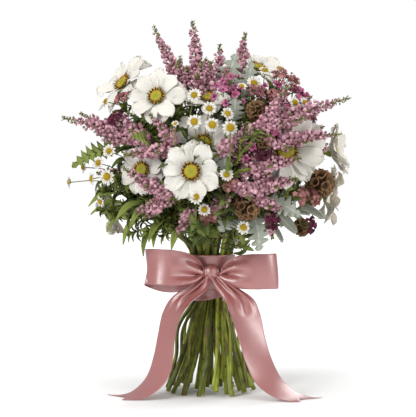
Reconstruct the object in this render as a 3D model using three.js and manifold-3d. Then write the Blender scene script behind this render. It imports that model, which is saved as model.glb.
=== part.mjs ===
// A hand-tied bouquet: white daisies, pink heather, chamomile, seed pods, small wax flowers, silver leaves and
// green sprigs. Its stems are wrapped in satin ribbon at the binding point, under a bow with two long tails, and
// fan out below it, so that it stands on their cut ends.
// Millimetres, +Z up. The front faces -Y. The origin is the cut end of the centre stem, on the surface.
import * as THREE from 'three';
import { mergeVertices } from 'three/addons/utils/BufferGeometryUtils.js';
import Module from 'manifold-3d';

const wasm = await Module();
wasm.setup();

// Driving dimensions
const BINDING_HEIGHT = 105; // where the bundle of stems is narrowest
const WRAP_BOTTOM = 100;
const WRAP_TOP = 151;
const RING_STEP = 5.6; // from one ring of stems to the next, at the binding
const STEM_RADIUS = 2.4;
const FOOT_SPREAD = 2.85; // how much wider a ring is on the surface than at the binding
const WRAP_SPREAD = 1.3; // and at the top of the wrap
const SPIRAL = 18; // degrees that the bundle turns between the surface and the binding
const RIBBON_WIDTH = 38;
const RIBBON_THICKNESS = 0.9;
const LEAF_THICKNESS = 1;
const PETAL_THICKNESS = 1;
const GAP = 0.4; // clearance between pieces that touch in the real bouquet
const BEND_GAP = 0.7; // clearance that stems and branches are bent to
const STEM_SIDES = 5;
const BRANCH_SIDES = 4;
const STALK_SIDES = 3;

const COLOURS = {
  stem: 0x6f8f3c,
  petal: 0xf3f0ea,
  disc: 0xb8a020,
  heather: 0xc07f9b,
  chamomile: 0xf0eccf,
  pod: 0x7a5a3a,
  silver: 0xa9b5ab,
  wax: 0xc24f8e,
  leaf: 0x4f7434,
  ribbon: 0xc98a8c,
};

// Geometry helpers

const vec = (x, y, z) => new THREE.Vector3(x, y, z);
const radians = THREE.MathUtils.degToRad;

// The way a bloom faces: azimuth 0 is the front and 90 the right, elevation is above the horizon, in degrees.
function facing([azimuth, elevation]) {
  const level = Math.cos(radians(elevation));
  return vec(
    Math.sin(radians(azimuth)) * level,
    -Math.cos(radians(azimuth)) * level,
    Math.sin(radians(elevation)),
  );
}

// A frame at a point, with its Z along one direction and its X as near as can be to another.
function frameAt(origin, alongZ, nearX) {
  const z = alongZ.clone().normalize();
  const x = nearX.clone().addScaledVector(z, -nearX.dot(z)).normalize();
  const y = z.clone().cross(x);
  return new THREE.Matrix4().makeBasis(x, y, z).setPosition(origin);
}

// A bloom's frame: Z is the way it faces, and X runs up its face.
function bloomFrame(origin, face) {
  const z = facing(face);
  return frameAt(origin, z, Math.abs(z.z) > 0.95 ? vec(0, 1, 0) : vec(0, 0, 1));
}

function geometryOf(points, faces) {
  const geometry = new THREE.BufferGeometry();
  geometry.setAttribute('position', new THREE.Float32BufferAttribute(points.flat(), 3));
  geometry.setIndex(faces.flat());
  return geometry;
}

function solidOf(geometry, matrix = new THREE.Matrix4()) {
  const bare = geometry.clone().applyMatrix4(matrix);
  bare.deleteAttribute('normal');
  bare.deleteAttribute('uv');
  const merged = mergeVertices(bare, 1e-3);
  return new wasm.Manifold(new wasm.Mesh({
    numProp: 3,
    vertProperties: merged.attributes.position.array,
    triVerts: new Uint32Array(merged.index.array),
  }));
}

const joined = (solids) => (solids.length === 1 ? solids[0] : wasm.Manifold.union(solids));

function largestBody(solid) {
  const bodies = solid.decompose();
  return bodies.reduce((best, body) => (body.volume() > best.volume() ? body : best), bodies[0]);
}

// The solid with every vertex moved outwards, which is what its neighbours are cut back from.
function grown(solid, by) {
  const mesh = solid.getMesh();
  const at = (i) => vec(...mesh.vertProperties.subarray(i * mesh.numProp, i * mesh.numProp + 3));
  const normals = Array.from({ length: mesh.numVert }, () => vec(0, 0, 0));
  for (let t = 0; t < mesh.triVerts.length; t += 3) {
    const corners = [...mesh.triVerts.subarray(t, t + 3)];
    const [a, b, c] = corners.map(at);
    const normal = b.sub(a).cross(c.sub(a));
    corners.forEach((corner) => normals[corner].add(normal));
  }
  const moved = new Float32Array(mesh.numVert * 3);
  normals.forEach((normal, i) => at(i).addScaledVector(normal.normalize(), by).toArray(moved, i * 3));
  return new wasm.Manifold(new wasm.Mesh({ numProp: 3, vertProperties: moved, triVerts: mesh.triVerts }));
}

// A thin arched leaf. It starts at the origin and runs along +X, with its upper face to +Z and sharp edges. Each
// row is [along, half width, rise, cup], cup being how far the edges stand above the rib. The first and last rows
// have no width: they are its points.
function blade(rows) {
  const points = [];
  const add = (x, y, z) => points.push([x, y, z]) - 1;
  const rings = rows.map(([along, width, rise, cup]) => {
    if (width === 0) {
      const tip = add(along, 0, rise);
      return { left: tip, right: tip, top: tip, bottom: tip, isPoint: true };
    }
    return {
      left: add(along, width, rise + cup),
      right: add(along, -width, rise + cup),
      top: add(along, 0, rise + LEAF_THICKNESS / 2),
      bottom: add(along, 0, rise - LEAF_THICKNESS / 2),
    };
  });
  const faces = [];
  for (let i = 0; i < rows.length - 1; i += 1) {
    const [a, b] = [rings[i], rings[i + 1]];
    for (const [side, turned] of [['left', false], ['right', true]]) {
      for (const [rib, under] of [['top', false], ['bottom', true]]) {
        const cell = [];
        if (!b.isPoint) cell.push([a[rib], b[rib], b[side]]);
        if (!a.isPoint) cell.push([a[rib], b[side], a[side]]);
        if (b.isPoint) cell[0] = [a[rib], b[rib], a[side]];
        faces.push(...cell.map((face) => (turned !== under ? [...face].reverse() : face)));
      }
    }
  }
  return geometryOf(points, faces);
}

// Rings of corners round a path, for a tapering tube. A first end on the surface is level, so that a cut stem
// stands flat, and the last end can be turned to face a given way.
function ringsAlong(points, radii, sides, lastWay = null) {
  let side = vec(1, 0, 0);
  return points.map((point, i) => {
    const before = points[Math.max(i - 1, 0)];
    const after = points[Math.min(i + 1, points.length - 1)];
    let along = after.clone().sub(before).normalize();
    if (i === 0 && point.z < 1) along = vec(0, 0, 1);
    if (i === points.length - 1 && lastWay) along = lastWay.clone();
    if (Math.abs(along.dot(side)) > 0.95) side = vec(0, 1, 0);
    side = side.clone().addScaledVector(along, -side.dot(along)).normalize();
    const other = along.clone().cross(side);
    const corners = Array.from({ length: sides }, (_, k) => {
      const turn = (2 * Math.PI * k) / sides;
      return point.clone()
        .addScaledVector(side, radii[i] * Math.cos(turn))
        .addScaledVector(other, radii[i] * Math.sin(turn))
        .toArray();
    });
    return { corners, side };
  });
}

// The walls of a tube between rings of the same number of corners, and the cap at its first end.
function tubeFaces(ringCount, sides) {
  const faces = [];
  for (let i = 0; i < ringCount - 1; i += 1) {
    for (let k = 0; k < sides; k += 1) {
      const next = (k + 1) % sides;
      const [a, b, c, d] = [i * sides + k, i * sides + next, (i + 1) * sides + next, (i + 1) * sides + k];
      faces.push([a, b, c], [a, c, d]);
    }
  }
  for (let k = 1; k < sides - 1; k += 1) faces.push([0, k + 1, k]);
  return faces;
}

function tube(points, radii, sides) {
  const corners = ringsAlong(points, radii, sides).flatMap((ring) => ring.corners);
  const faces = tubeFaces(points.length, sides);
  const last = (points.length - 1) * sides;
  for (let k = 1; k < sides - 1; k += 1) faces.push([last, last + k, last + k + 1]);
  return geometryOf(corners, faces);
}

// A three-sided stalk that widens into the back of a head, all in one body. The head's points are in its own
// frame, at the stalk's end and facing the given way; its outline's first corner comes first in the list.
function onStalk(path, radii, way, head) {
  const rings = ringsAlong(path, radii, STALK_SIDES, way);
  const last = rings[rings.length - 1];
  const frame = frameAt(path[path.length - 1], way, last.side);
  const points = rings.flatMap((ring) => ring.corners);
  const start = points.length;
  const from = start - STALK_SIDES;
  points.push(...head.points.map((point) => vec(...point).applyMatrix4(frame).toArray()));
  const faces = tubeFaces(path.length, STALK_SIDES);
  faces.push(...head.faces.map((face) => face.map((corner) => corner + start)));
  const nearestSide = (k) => from + (Math.round((STALK_SIDES * k) / head.outline) % STALK_SIDES);
  for (let k = 0; k < head.outline; k += 1) {
    const next = (k + 1) % head.outline;
    faces.push([nearestSide(k), start + next, start + k]);
    if (nearestSide(k) !== nearestSide(k + 1)) faces.push([nearestSide(k), nearestSide(k + 1), start + next]);
  }
  return solidOf(geometryOf(points, faces));
}

// Blooms, each in its own frame: the centre of the face is at the origin, and it faces +Z

const PETAL_ROOT = 0.2; // how far out the petals part, as a share of the bloom's radius
const PETAL_NOTCH = 0.07; // how deep a petal's tip is notched, as a share of the bloom's radius
const DISC_RADIUS = 0.26; // of a daisy, as a share of the bloom's radius
const UPPER_LIFT = 7; // degrees that the petals of the upper and lower layers stand off the bloom's cup
const LOWER_LIFT = -3;
const petalLift = (i, cup) => radians(cup + (i % 2 ? UPPER_LIFT : LOWER_LIFT));

// A ring of broad notched petals round a thin hub, in one body. Every other petal stands a little higher, so that
// they lie in layers. Petals part at the valleys, which two neighbours share.
function daisyPetals({ radius, petals, cup }) {
  const points = [[0, 0, 0.8], [0, 0, -1.4]]; // the middle of the hub, above and below
  const root = PETAL_ROOT * radius;
  const rows = [ // [along, half width, rise of the rib, how far the edges stand above it]
    [0.62, 0.25, 0.02, 0.04],
    [1, 0.13, -0.05, 0.02],
  ];
  const notch = PETAL_NOTCH * radius;
  for (let i = 0; i < petals; i += 1) {
    const turn = (2 * Math.PI * i) / petals;
    const add = (along, across, height) => points.push([
      along * Math.cos(turn) - across * Math.sin(turn),
      along * Math.sin(turn) + across * Math.cos(turn),
      height,
    ]);
    const half = Math.PI / petals;
    add(root * Math.cos(half), -root * Math.sin(half), 0);
    add(root, 0, PETAL_THICKNESS / 2);
    add(root, 0, -PETAL_THICKNESS / 2);
    const lift = petalLift(i, cup);
    rows.forEach(([along, width, rise, edge], row) => {
      const reach = root + (along * radius - root) * Math.cos(lift);
      const height = (along * radius - root) * Math.sin(lift) + rise * radius;
      if (row === rows.length - 1) {
        add(reach - notch, 0, height);
      } else {
        add(reach, 0, height + PETAL_THICKNESS / 2);
        add(reach, 0, height - PETAL_THICKNESS / 2);
      }
      add(reach, width * radius, height + edge * radius);
      add(reach, -width * radius, height + edge * radius);
    });
  }
  // Corners of a petal: valley, root above and below, middle above, below, left and right, then notch, left, right.
  const perPetal = 10;
  const faces = [];
  for (let i = 0; i < petals; i += 1) {
    const [valley, over, under, top, bottom, left, right, notched, tipLeft, tipRight] = Array.from(
      { length: perPetal },
      (_, k) => 2 + perPetal * i + k,
    );
    const next = 2 + perPetal * ((i + 1) % petals);
    const upper = [
      [0, valley, over], [0, over, next],
      [over, right, top], [over, valley, right], [over, top, left], [over, left, next],
      [top, right, tipRight], [top, tipRight, notched], [top, notched, tipLeft], [top, tipLeft, left],
    ];
    const mirror = new Map([[0, 1], [over, under], [top, bottom]]);
    const lower = upper.map((face) => face.map((corner) => mirror.get(corner) ?? corner).reverse());
    faces.push(...upper, ...lower);
  }
  return solidOf(geometryOf(points, faces));
}

// The domed disc, whose florets show as a toothed rim and a ring of relief. It nests in the cup of the petals.
function daisyDisc({ radius, cup }) {
  const teeth = 10;
  const rim = DISC_RADIUS * radius;
  const seat = 2.4 + (DISC_RADIUS - PETAL_ROOT) * radius * Math.tan(radians(cup + UPPER_LIFT + 2));
  const profile = [[1, 0], [0.72, 2.2], [0.4, 2]]; // [share of the rim, height above the seat]
  const points = [[0, 0, 1.35], [0, 0, seat + 1.7]];
  const faces = [];
  profile.forEach(([share, height], row) => {
    for (let k = 0; k < teeth; k += 1) {
      const out = row === 2 ? share : share * ((k + row) % 2 ? 1 : 0.84);
      const turn = (2 * Math.PI * k) / teeth;
      points.push([rim * out * Math.cos(turn), rim * out * Math.sin(turn), seat + height]);
    }
  });
  for (let k = 0; k < teeth; k += 1) {
    const next = (k + 1) % teeth;
    faces.push([0, 2 + next, 2 + k], [1, 2 + 2 * teeth + k, 2 + 2 * teeth + next]);
    for (let row = 0; row < 2; row += 1) {
      const [a, b] = [2 + row * teeth + k, 2 + row * teeth + next];
      faces.push([a, b, b + teeth], [a, b + teeth, a + teeth]);
    }
  }
  return solidOf(geometryOf(points, faces));
}

// A small flower for a stalk: a domed middle, and petals as the points of a star, which stand a little in front
// of the stalk's end.
function smallFlower({ radius, petals, dome, back }) {
  const outline = 2 * petals;
  const valley = 0.56 * radius; // how far out two petals meet
  const rim = 0.42 * radius; // of the domed middle
  const points = [];
  for (let k = 0; k < outline; k += 1) {
    const turn = (Math.PI * k) / petals;
    const out = k % 2 ? valley : radius;
    points.push([out * Math.cos(turn), out * Math.sin(turn), back]);
  }
  for (let k = 0; k < petals; k += 1) {
    const turn = (2 * Math.PI * k) / petals;
    points.push([rim * Math.cos(turn), rim * Math.sin(turn), back + 0.6 * dome * radius]);
  }
  const middle = points.push([0, 0, back + dome * radius]) - 1;
  const faces = [];
  for (let k = 0; k < petals; k += 1) {
    const [a, b] = [outline + k, outline + ((k + 1) % petals)];
    const tip = 2 * k;
    faces.push([middle, a, b], [a, (tip + outline - 1) % outline, tip], [a, tip, tip + 1], [a, tip + 1, b]);
  }
  return { points, faces, outline };
}

// A heather spike for a stalk: rows of florets as relief on a slim core, thinning to a bud at the tip.
function heatherSpike(length, radius) {
  const rows = Math.max(5, Math.round(length / (0.92 * radius)));
  const outline = 6;
  const points = [];
  for (let row = 0; row < rows; row += 1) {
    const share = row / rows;
    const reach = radius * Math.min(1, 0.62 + 3 * share) * (1 - 0.78 * share ** 1.6);
    for (let k = 0; k < outline; k += 1) {
      const isFloret = (row + k) % 2 === 0;
      const out = isFloret ? reach : 0.42 * reach;
      const turn = (2 * Math.PI * k) / outline + 0.35 * row;
      points.push([out * Math.cos(turn), out * Math.sin(turn), 1 + length * share + (isFloret ? 0.3 * radius : 0)]);
    }
  }
  const tip = points.push([0, 0, length]) - 1;
  const faces = [];
  for (let k = 0; k < outline; k += 1) {
    const next = (k + 1) % outline;
    const top = (rows - 1) * outline;
    faces.push([tip, top + k, top + next]);
    for (let row = 0; row < rows - 1; row += 1) {
      const [a, b] = [row * outline + k, row * outline + next];
      faces.push([a, b, b + outline], [a, b + outline, a + outline]);
    }
  }
  return { points, faces, outline };
}

// A round seed pod with twelve cells, whose mouths are pushed in.
function seedPod(radius) {
  const bare = new THREE.IcosahedronGeometry(radius, 1).deleteAttribute('normal').deleteAttribute('uv');
  const ball = mergeVertices(bare, 1e-3);
  const place = ball.attributes.position;
  const corner = 0.86 * radius; // how far out the mouth of a cell lies
  const first = new THREE.IcosahedronGeometry(radius, 0).attributes.position;
  for (let i = 0; i < place.count; i += 1) {
    const point = new THREE.Vector3().fromBufferAttribute(place, i);
    for (let k = 0; k < first.count; k += 1) {
      if (point.distanceTo(new THREE.Vector3().fromBufferAttribute(first, k)) < 0.01) point.setLength(corner);
    }
    place.setXYZ(i, point.x, point.y, point.z);
  }
  return ball;
}

// Leaf outlines, as rows for blade()

const leafRows = {
  // a small oval leaflet
  oval: (length, width) => [
    [0, 0, 0],
    [0.45 * length, 0.5 * width, 0.08 * length, 0.06 * width],
    [length, 0, -0.04 * length],
  ],
  // a round leaf on a short foot
  round: (length, width) => [
    [0, 0, 0],
    [0.3 * length, 0.46 * width, 0.03 * length, 0.05 * width],
    [0.7 * length, 0.5 * width, 0.05 * length, 0.05 * width],
    [length, 0, 0],
  ],
  // deep lobes on both sides, wide and narrow in turn
  lobed: (length, width) => [
    [0, 0, 0],
    [0.34 * length, 0.4 * width, 0.06 * length, 0.03 * width],
    [0.46 * length, 0.14 * width, 0.09 * length, 0],
    [0.72 * length, 0.5 * width, 0.07 * length, 0.04 * width],
    [length, 0, -0.05 * length],
  ],
};

// How a leaf could turn on its root to stand clear of its neighbours, as [yaw, pitch] in degrees, least turn first.
const LEAF_TURNS = [
  [0, 0], [14, 0], [-14, 0], [0, 14], [0, -14], [26, 10], [-26, 10], [26, -14], [-26, -14], [0, 28],
  [40, 0], [-40, 0], [0, -30], [40, 25], [-40, 25], [55, -20], [-55, -20],
];

function leafChoices(kind, root, direction, up, length, width) {
  const rows = leafRows[kind](length, width);
  const z = up.clone().addScaledVector(direction, -up.dot(direction) / direction.lengthSq());
  const place = frameAt(root, z, direction);
  return LEAF_TURNS.map(([yaw, pitch]) => {
    const turned = new THREE.Matrix4().makeRotationY(radians(pitch)).premultiply(
      new THREE.Matrix4().makeRotationZ(radians(yaw)),
    );
    return () => solidOf(blade(rows), place.clone().multiply(turned));
  });
}

// The bundle of stems

function bundleScale(z) {
  const share = z < BINDING_HEIGHT
    ? (BINDING_HEIGHT - z) / BINDING_HEIGHT
    : (z - BINDING_HEIGHT) / (WRAP_TOP - BINDING_HEIGHT);
  const spread = z < BINDING_HEIGHT ? FOOT_SPREAD : WRAP_SPREAD;
  return Math.sqrt(1 + share ** 2 * (spread ** 2 - 1));
}

// Where a stem of a ring, at an azimuth, passes a height.
function stemPoint({ ring, azimuth }, z) {
  const turn = radians(azimuth + (SPIRAL * (z - BINDING_HEIGHT)) / BINDING_HEIGHT);
  const out = ring * RING_STEP * bundleScale(z);
  return vec(out * Math.sin(turn), -out * Math.cos(turn), z);
}

const STEM_TOP = WRAP_TOP + 6; // above this the stems bend apart to their forks
const STEM_HEIGHTS = [0, 50, BINDING_HEIGHT, STEM_TOP];
const OUTER_RING = 3;

// What grows on the stems. Each spray has its place in the bundle, as a ring and an azimuth at the binding, and
// the blooms, spikes, pods and leaves that it carries. Places are chosen from the look of the bouquet.

const daisySprays = {
  front: {
    slot: { ring: 2, azimuth: -50 },
    blooms: [
      { name: 'front', at: [-20, -129, 241], face: [-6, 6], radius: 34, petals: 9, cup: 12 },
      { name: 'front_upper', at: [-8, -98, 270], face: [3, 18], radius: 31, petals: 9, cup: 14 },
      { name: 'left', at: [-70, -90, 243], face: [-30, 6], radius: 31, petals: 9, cup: 8 },
    ],
  },
  upper_left: {
    slot: { ring: 1, azimuth: -60 },
    blooms: [
      { name: 'upper_left', at: [-55, -102, 317], face: [-20, 24], radius: 31, petals: 8, cup: 12 },
      { name: 'top_left', at: [-92, -44, 334], face: [-55, 36], radius: 34, petals: 9, cup: 10 },
    ],
  },
  top: {
    slot: { ring: 1, azimuth: 0 },
    blooms: [
      { name: 'top', at: [-4, -88, 316], face: [8, 48], radius: 28, petals: 8, cup: 14 },
      { name: 'top_right', at: [50, -30, 350], face: [40, 55], radius: 32, petals: 9, cup: 12 },
    ],
  },
  right: {
    slot: { ring: 3, azimuth: 90 },
    blooms: [
      { name: 'right', at: [76, -92, 264], face: [10, 4], radius: 47, petals: 10, cup: 6 },
      { name: 'right_rear', at: [130, -24, 262], face: [76, 14], radius: 33, petals: 8, cup: 30 },
      { name: 'right_low', at: [126, 4, 216], face: [98, -6], radius: 35, petals: 10, cup: 14 },
    ],
  },
  left_low: {
    slot: { ring: 3, azimuth: -110 },
    blooms: [
      { name: 'left_low', at: [-108, 12, 200], face: [-104, -18], radius: 33, petals: 9, cup: 10 },
      { name: 'back_left', at: [-76, 98, 262], face: [-143, 14], radius: 35, petals: 9, cup: 12 },
    ],
  },
  back: {
    slot: { ring: 3, azimuth: 182 },
    blooms: [
      { name: 'back_top', at: [18, 88, 320], face: [170, 40], radius: 34, petals: 9, cup: 12 },
      { name: 'back_right', at: [84, 92, 250], face: [138, 10], radius: 35, petals: 9, cup: 12 },
    ],
  },
};

// Spikes are [base, tip, radius].
const heatherSprays = {
  top: {
    slot: { ring: 0, azimuth: 0 },
    spikes: [
      [[-34, -62, 336], [-62, -40, 398], 9],
      [[-14, -62, 343], [-20, -38, 404], 10],
      [[10, -58, 336], [9, -48, 378], 9],
      [[29, -50, 343], [37, -32, 392], 9],
      [[-14, -82, 330], [-10, -104, 352], 8],
    ],
  },
  left: {
    slot: { ring: 2, azimuth: -100 },
    spikes: [
      [[-82, -90, 280], [-160, -50, 299], 10],
      [[-50, -117, 262], [-90, -112, 258], 9],
      [[-52, -112, 222], [-92, -106, 246], 9],
      [[-42, -118, 276], [-63, -116, 300], 7],
    ],
  },
  left_low: {
    slot: { ring: 3, azimuth: -42 },
    spikes: [
      [[-44, -100, 214], [-80, -96, 198], 9],
      [[-22, -92, 200], [-36, -84, 172], 9],
    ],
  },
  right: {
    slot: { ring: 2, azimuth: 100 },
    spikes: [
      [[60, -118, 290], [146, -72, 319], 11],
      [[66, -119, 274], [134, -96, 280], 9],
      [[50, -121, 246], [92, -117, 255], 9],
    ],
  },
  right_low: {
    slot: { ring: 3, azimuth: 46 },
    spikes: [
      [[34, -116, 224], [80, -92, 196], 9],
      [[60, -84, 196], [64, -82, 170], 5],
      [[52, -110, 226], [90, -102, 234], 9],
    ],
  },
  centre: {
    slot: { ring: 3, azimuth: 24 },
    spikes: [
      [[14, -126, 264], [46, -126, 286], 8],
      [[35, -114, 248], [31, -122, 224], 7],
      [[6, -110, 206], [24, -116, 220], 6],
    ],
  },
  back_right: {
    slot: { ring: 3, azimuth: 158 },
    spikes: [
      [[60, 76, 290], [92, 108, 336], 10],
      [[100, 44, 262], [152, 52, 272], 10],
      [[30, 96, 232], [44, 142, 214], 9],
    ],
  },
  back_left: {
    slot: { ring: 3, azimuth: -132 },
    spikes: [
      [[-38, 74, 306], [-58, 104, 350], 10],
      [[-100, 44, 284], [-150, 48, 308], 10],
      [[-30, 102, 230], [-40, 146, 212], 9],
    ],
  },
};

// Chamomile heads are [x, y, z, radius, azimuth, elevation].
const chamomileSprays = {
  centre: {
    slot: { ring: 2, azimuth: 0 },
    rise: [0, -0.3, 1],
    flowers: [
      [-17, -120, 318, 9, -5, 20],
      [-2, -128, 304, 9, 5, 20],
      [-17, -133, 291, 9.5, -10, 10],
      [1, -134, 288, 9.5, 0, 10],
      [16, -133, 299, 8.5, 25, 20],
      [19, -137, 285, 10, 10, 8],
      [-36, -129, 289, 5, -10, 30],
    ],
  },
  left: {
    slot: { ring: 3, azimuth: -86 },
    flowers: [
      [-104, -102, 262, 9, -30, 15],
      [-116, -90, 250, 9, -35, 15],
      [-107, -97, 236, 10, -25, 5],
      [-124, -76, 234, 8.5, -65, 0],
      [-134, -62, 246, 8.5, -80, 10],
      [-150, -50, 230, 8.5, -80, 0],
      [-116, -66, 210, 8, -50, -20],
      [-109, -80, 314, 8, -70, 20],
    ],
  },
  low: {
    slot: { ring: 3, azimuth: -20 },
    rise: [0, -0.5, 1],
    flowers: [
      [15, -136, 238, 8.5, 10, 15],
      [-15, -140, 216, 9.5, -5, 10],
      [-7, -126, 203, 8, 0, 0],
      [33, -98, 184, 9, 10, -5],
      [31, -70, 166, 8, 20, -30],
    ],
  },
  top_right: {
    slot: { ring: 1, azimuth: 60 },
    flowers: [
      [44, -92, 332, 9.5, 10, 20],
      [56, -78, 346, 8.5, 10, 55],
      [72, -60, 349, 8.5, 30, 60],
      [31, -104, 328, 7, 5, 40],
      [86, -94, 312, 8.5, 30, 20],
      [97, -82, 312, 8.5, 50, 15],
    ],
  },
  back: {
    slot: { ring: 3, azimuth: -154 },
    flowers: [
      [-20, 124, 276, 9.5, 175, 12],
      [-4, 132, 262, 9.5, 180, 10],
      [14, 130, 276, 9, 170, 18],
      [-12, 130, 246, 9, -175, 0],
      [30, 128, 258, 9, 165, 5],
      [-10, 6, 352, 9, 0, 70],
      [16, 24, 350, 9, 60, 75],
    ],
  },
};

// Pods are [x, y, z, radius].
const podSprays = {
  front: {
    slot: { ring: 3, azimuth: 2 },
    pods: [[36, -104, 205, 13], [46, -114, 303, 10], [52, -126, 270, 6]],
  },
  right: {
    slot: { ring: 3, azimuth: 112 },
    pods: [[114, -68, 229, 14], [98, -26, 181, 9], [112, 40, 214, 12]],
  },
};

// Small wax flowers are [x, y, z, radius, azimuth, elevation].
const waxSprays = {
  right: {
    slot: { ring: 2, azimuth: 50 },
    flowers: [
      [62, -126, 282, 6, 20, 15],
      [40, -130, 266, 7, 10, 5],
      [76, -102, 306, 6, 30, 15],
      [90, -76, 326, 6, 50, 25],
      [12, -114, 324, 6, 0, 20],
      [24, -116, 319, 6, 10, 20],
      [20, -100, 338, 5.5, 10, 30],
      [68, -86, 330, 7, 30, 30],
    ],
  },
  back: {
    slot: { ring: 2, azimuth: 150 },
    flowers: [
      [-34, 26, 350, 6, -60, 70],
      [-80, 48, 312, 6, -120, 30],
      [52, 112, 270, 6, 155, 10],
      [-100, -76, 290, 6, -50, 20],
      [34, 40, 346, 6, 140, 60],
      [84, 28, 318, 6, 100, 30],
    ],
  },
};

// Leaves are [kind, root, tip, width].
const leafSprays = {
  silver_right: {
    slot: { ring: 3, azimuth: 68 },
    colour: COLOURS.silver,
    leaves: [
      ['lobed', [56, -92, 212], [92, -84, 196], 26],
      ['lobed', [20, -84, 196], [6, -104, 180], 26],
      ['lobed', [44, -72, 196], [52, -70, 160], 28],
      ['lobed', [10, -96, 222], [16, -128, 256], 22],
    ],
  },
  silver_top: {
    slot: { ring: 2, azimuth: -150 },
    colour: COLOURS.silver,
    leaves: [
      ['lobed', [14, -66, 326], [26, -78, 362], 26],
      ['lobed', [34, -70, 322], [44, -72, 356], 24],
      ['lobed', [22, -106, 292], [26, -120, 316], 18],
      ['lobed', [-44, 50, 322], [-66, 76, 346], 28],
      ['lobed', [-2, 86, 292], [-6, 128, 300], 28],
    ],
  },
  green_left: {
    slot: { ring: 3, azimuth: -64 },
    colour: COLOURS.leaf,
    leaves: [
      ['lobed', [-96, -66, 266], [-142, -74, 248], 34],
      ['lobed', [-60, -96, 268], [-84, -122, 276], 22],
      ['oval', [-60, -36, 180], [-74, -40, 152], 13],
      ['oval', [-90, -44, 196], [-110, -50, 176], 12],
      ['oval', [-74, -50, 192], [-96, -60, 170], 14],
      ['oval', [-72, -72, 208], [-98, -86, 196], 13],
      ['oval', [-62, -76, 204], [-84, -96, 184], 13],
      ['oval', [-46, -66, 190], [-62, -84, 168], 14],
      ['oval', [-100, -58, 218], [-128, -62, 204], 13],
      ['oval', [-52, -52, 184], [-66, -64, 162], 13],
      ['lobed', [-12, -60, 192], [-20, -92, 176], 26],
      ['oval', [-84, -24, 196], [-112, -24, 178], 14],
      ['oval', [-30, -60, 184], [-42, -76, 160], 13],
      ['oval', [-96, -8, 206], [-130, -14, 196], 14],
    ],
  },
  eucalyptus_right: {
    slot: { ring: 3, azimuth: 134 },
    colour: COLOURS.silver,
    leaves: [
      ['round', [66, -52, 196], [88, -62, 176], 22],
      ['round', [74, -40, 196], [104, -56, 194], 18],
      ['round', [96, -8, 200], [122, -22, 192], 18],
      ['round', [60, -26, 186], [76, -36, 164], 22],
      ['round', [82, 30, 196], [106, 36, 180], 24],
      ['round', [70, 60, 200], [92, 82, 188], 24],
      ['round', [40, 70, 196], [52, 98, 182], 24],
      ['round', [6, 76, 200], [2, 108, 188], 24],
      ['round', [-34, 70, 200], [-46, 98, 186], 24],
      ['round', [-66, 50, 200], [-90, 66, 186], 24],
    ],
  },
};

// Branches: each spray's stem forks above the wrap, and a branch bends into the back of each thing it carries.
// A point of these paths is fixed where it lies in the bundle or in a bloom, and can be moved anywhere else.

const BLOOM_BACK = 3.2; // from the middle of a daisy's hub back to its stalk
const FORK_SHARE = 0.3; // where the stem forks, between the wrap's top and what it carries
const BEND_SHARE = 0.32; // how much of a branch runs straight into the back of what it carries
const BRANCHED_SHARE = 0.6; // how much of the stem from the wrap's top to the fork the branches leave from
const BEND_PASSES = 60;
const BEND_RATE = 0.3; // how much of an overlap is mended in a pass
const BEND_STEP = 2; // how far a point moves in a pass at most
const rods = [];

function addRod(owner, from, to, radius) {
  rods.push({ owner, from, to, radius });
}

const fixedPoint = (at) => ({ at, push: vec(0, 0, 0), isFixed: true });
const freePoint = (at) => ({ at, push: vec(0, 0, 0), isFixed: false });

function branchesOf(name, slot, ends) {
  const stem = STEM_HEIGHTS.map((z) => fixedPoint(stemPoint(slot, z)));
  const top = stem[stem.length - 1];
  const mean = ends.reduce((sum, end) => sum.add(end.at), vec(0, 0, 0)).divideScalar(ends.length);
  const fork = freePoint(top.at.clone().lerp(mean, FORK_SHARE));
  addRod(name, top, fork, 2);
  const branches = ends.map(({ at, out, radius }, i) => {
    const share = 1 - (BRANCHED_SHARE * i) / ends.length;
    const root = { at: top.at.clone().lerp(fork.at, share), push: vec(0, 0, 0), isFixed: true, top, fork, share };
    const bend = at.clone().addScaledVector(out, -BEND_SHARE * at.distanceTo(root.at));
    const points = [root, freePoint(root.at.clone().lerp(bend, 0.5)), freePoint(bend), fixedPoint(at)];
    points.slice(1).forEach((point, k) => addRod(name, points[k], point, radius + 0.3));
    return { radius, points };
  });
  return { stem, fork, branches };
}

// Stems and branches that would cross are bent clear of each other, and of blooms, spikes, pods and petal ribs.
function bendClear() {
  const [onP, onQ, apart] = [vec(0, 0, 0), vec(0, 0, 0), vec(0, 0, 0)];
  const isMoved = ({ from, to }) => !from.isFixed || !to.isFixed || Boolean(from.fork);
  const pairs = rods.flatMap((p, i) => rods.slice(i + 1)
    .filter((q) => p.owner !== q.owner && (isMoved(p) || isMoved(q)))
    .map((q) => [p, q]));
  const points = [...new Set(rods.flatMap(({ from, to }) => [from, to]))];
  for (let pass = 0; pass < BEND_PASSES; pass += 1) {
    for (const [p, q] of pairs) {
      const [s, t] = nearest(p, q, onP, onQ);
      apart.subVectors(onP, onQ);
      const distance = apart.length();
      const short = p.radius + q.radius + BEND_GAP - distance;
      if (short <= 0 || distance < 1e-6) continue;
      apart.setLength(BEND_RATE * short);
      p.from.push.addScaledVector(apart, 1 - s);
      p.to.push.addScaledVector(apart, s);
      q.from.push.addScaledVector(apart, t - 1);
      q.to.push.addScaledVector(apart, -t);
    }
    points.filter(({ fork }) => fork).forEach(({ fork, push }) => fork.push.add(push));
    for (const { at, push, isFixed } of points) {
      if (!isFixed) at.add(push.clampLength(0, BEND_STEP));
      push.set(0, 0, 0);
    }
    points.filter(({ fork }) => fork).forEach(({ at, top, fork, share }) => at.lerpVectors(top.at, fork.at, share));
  }
}

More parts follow.
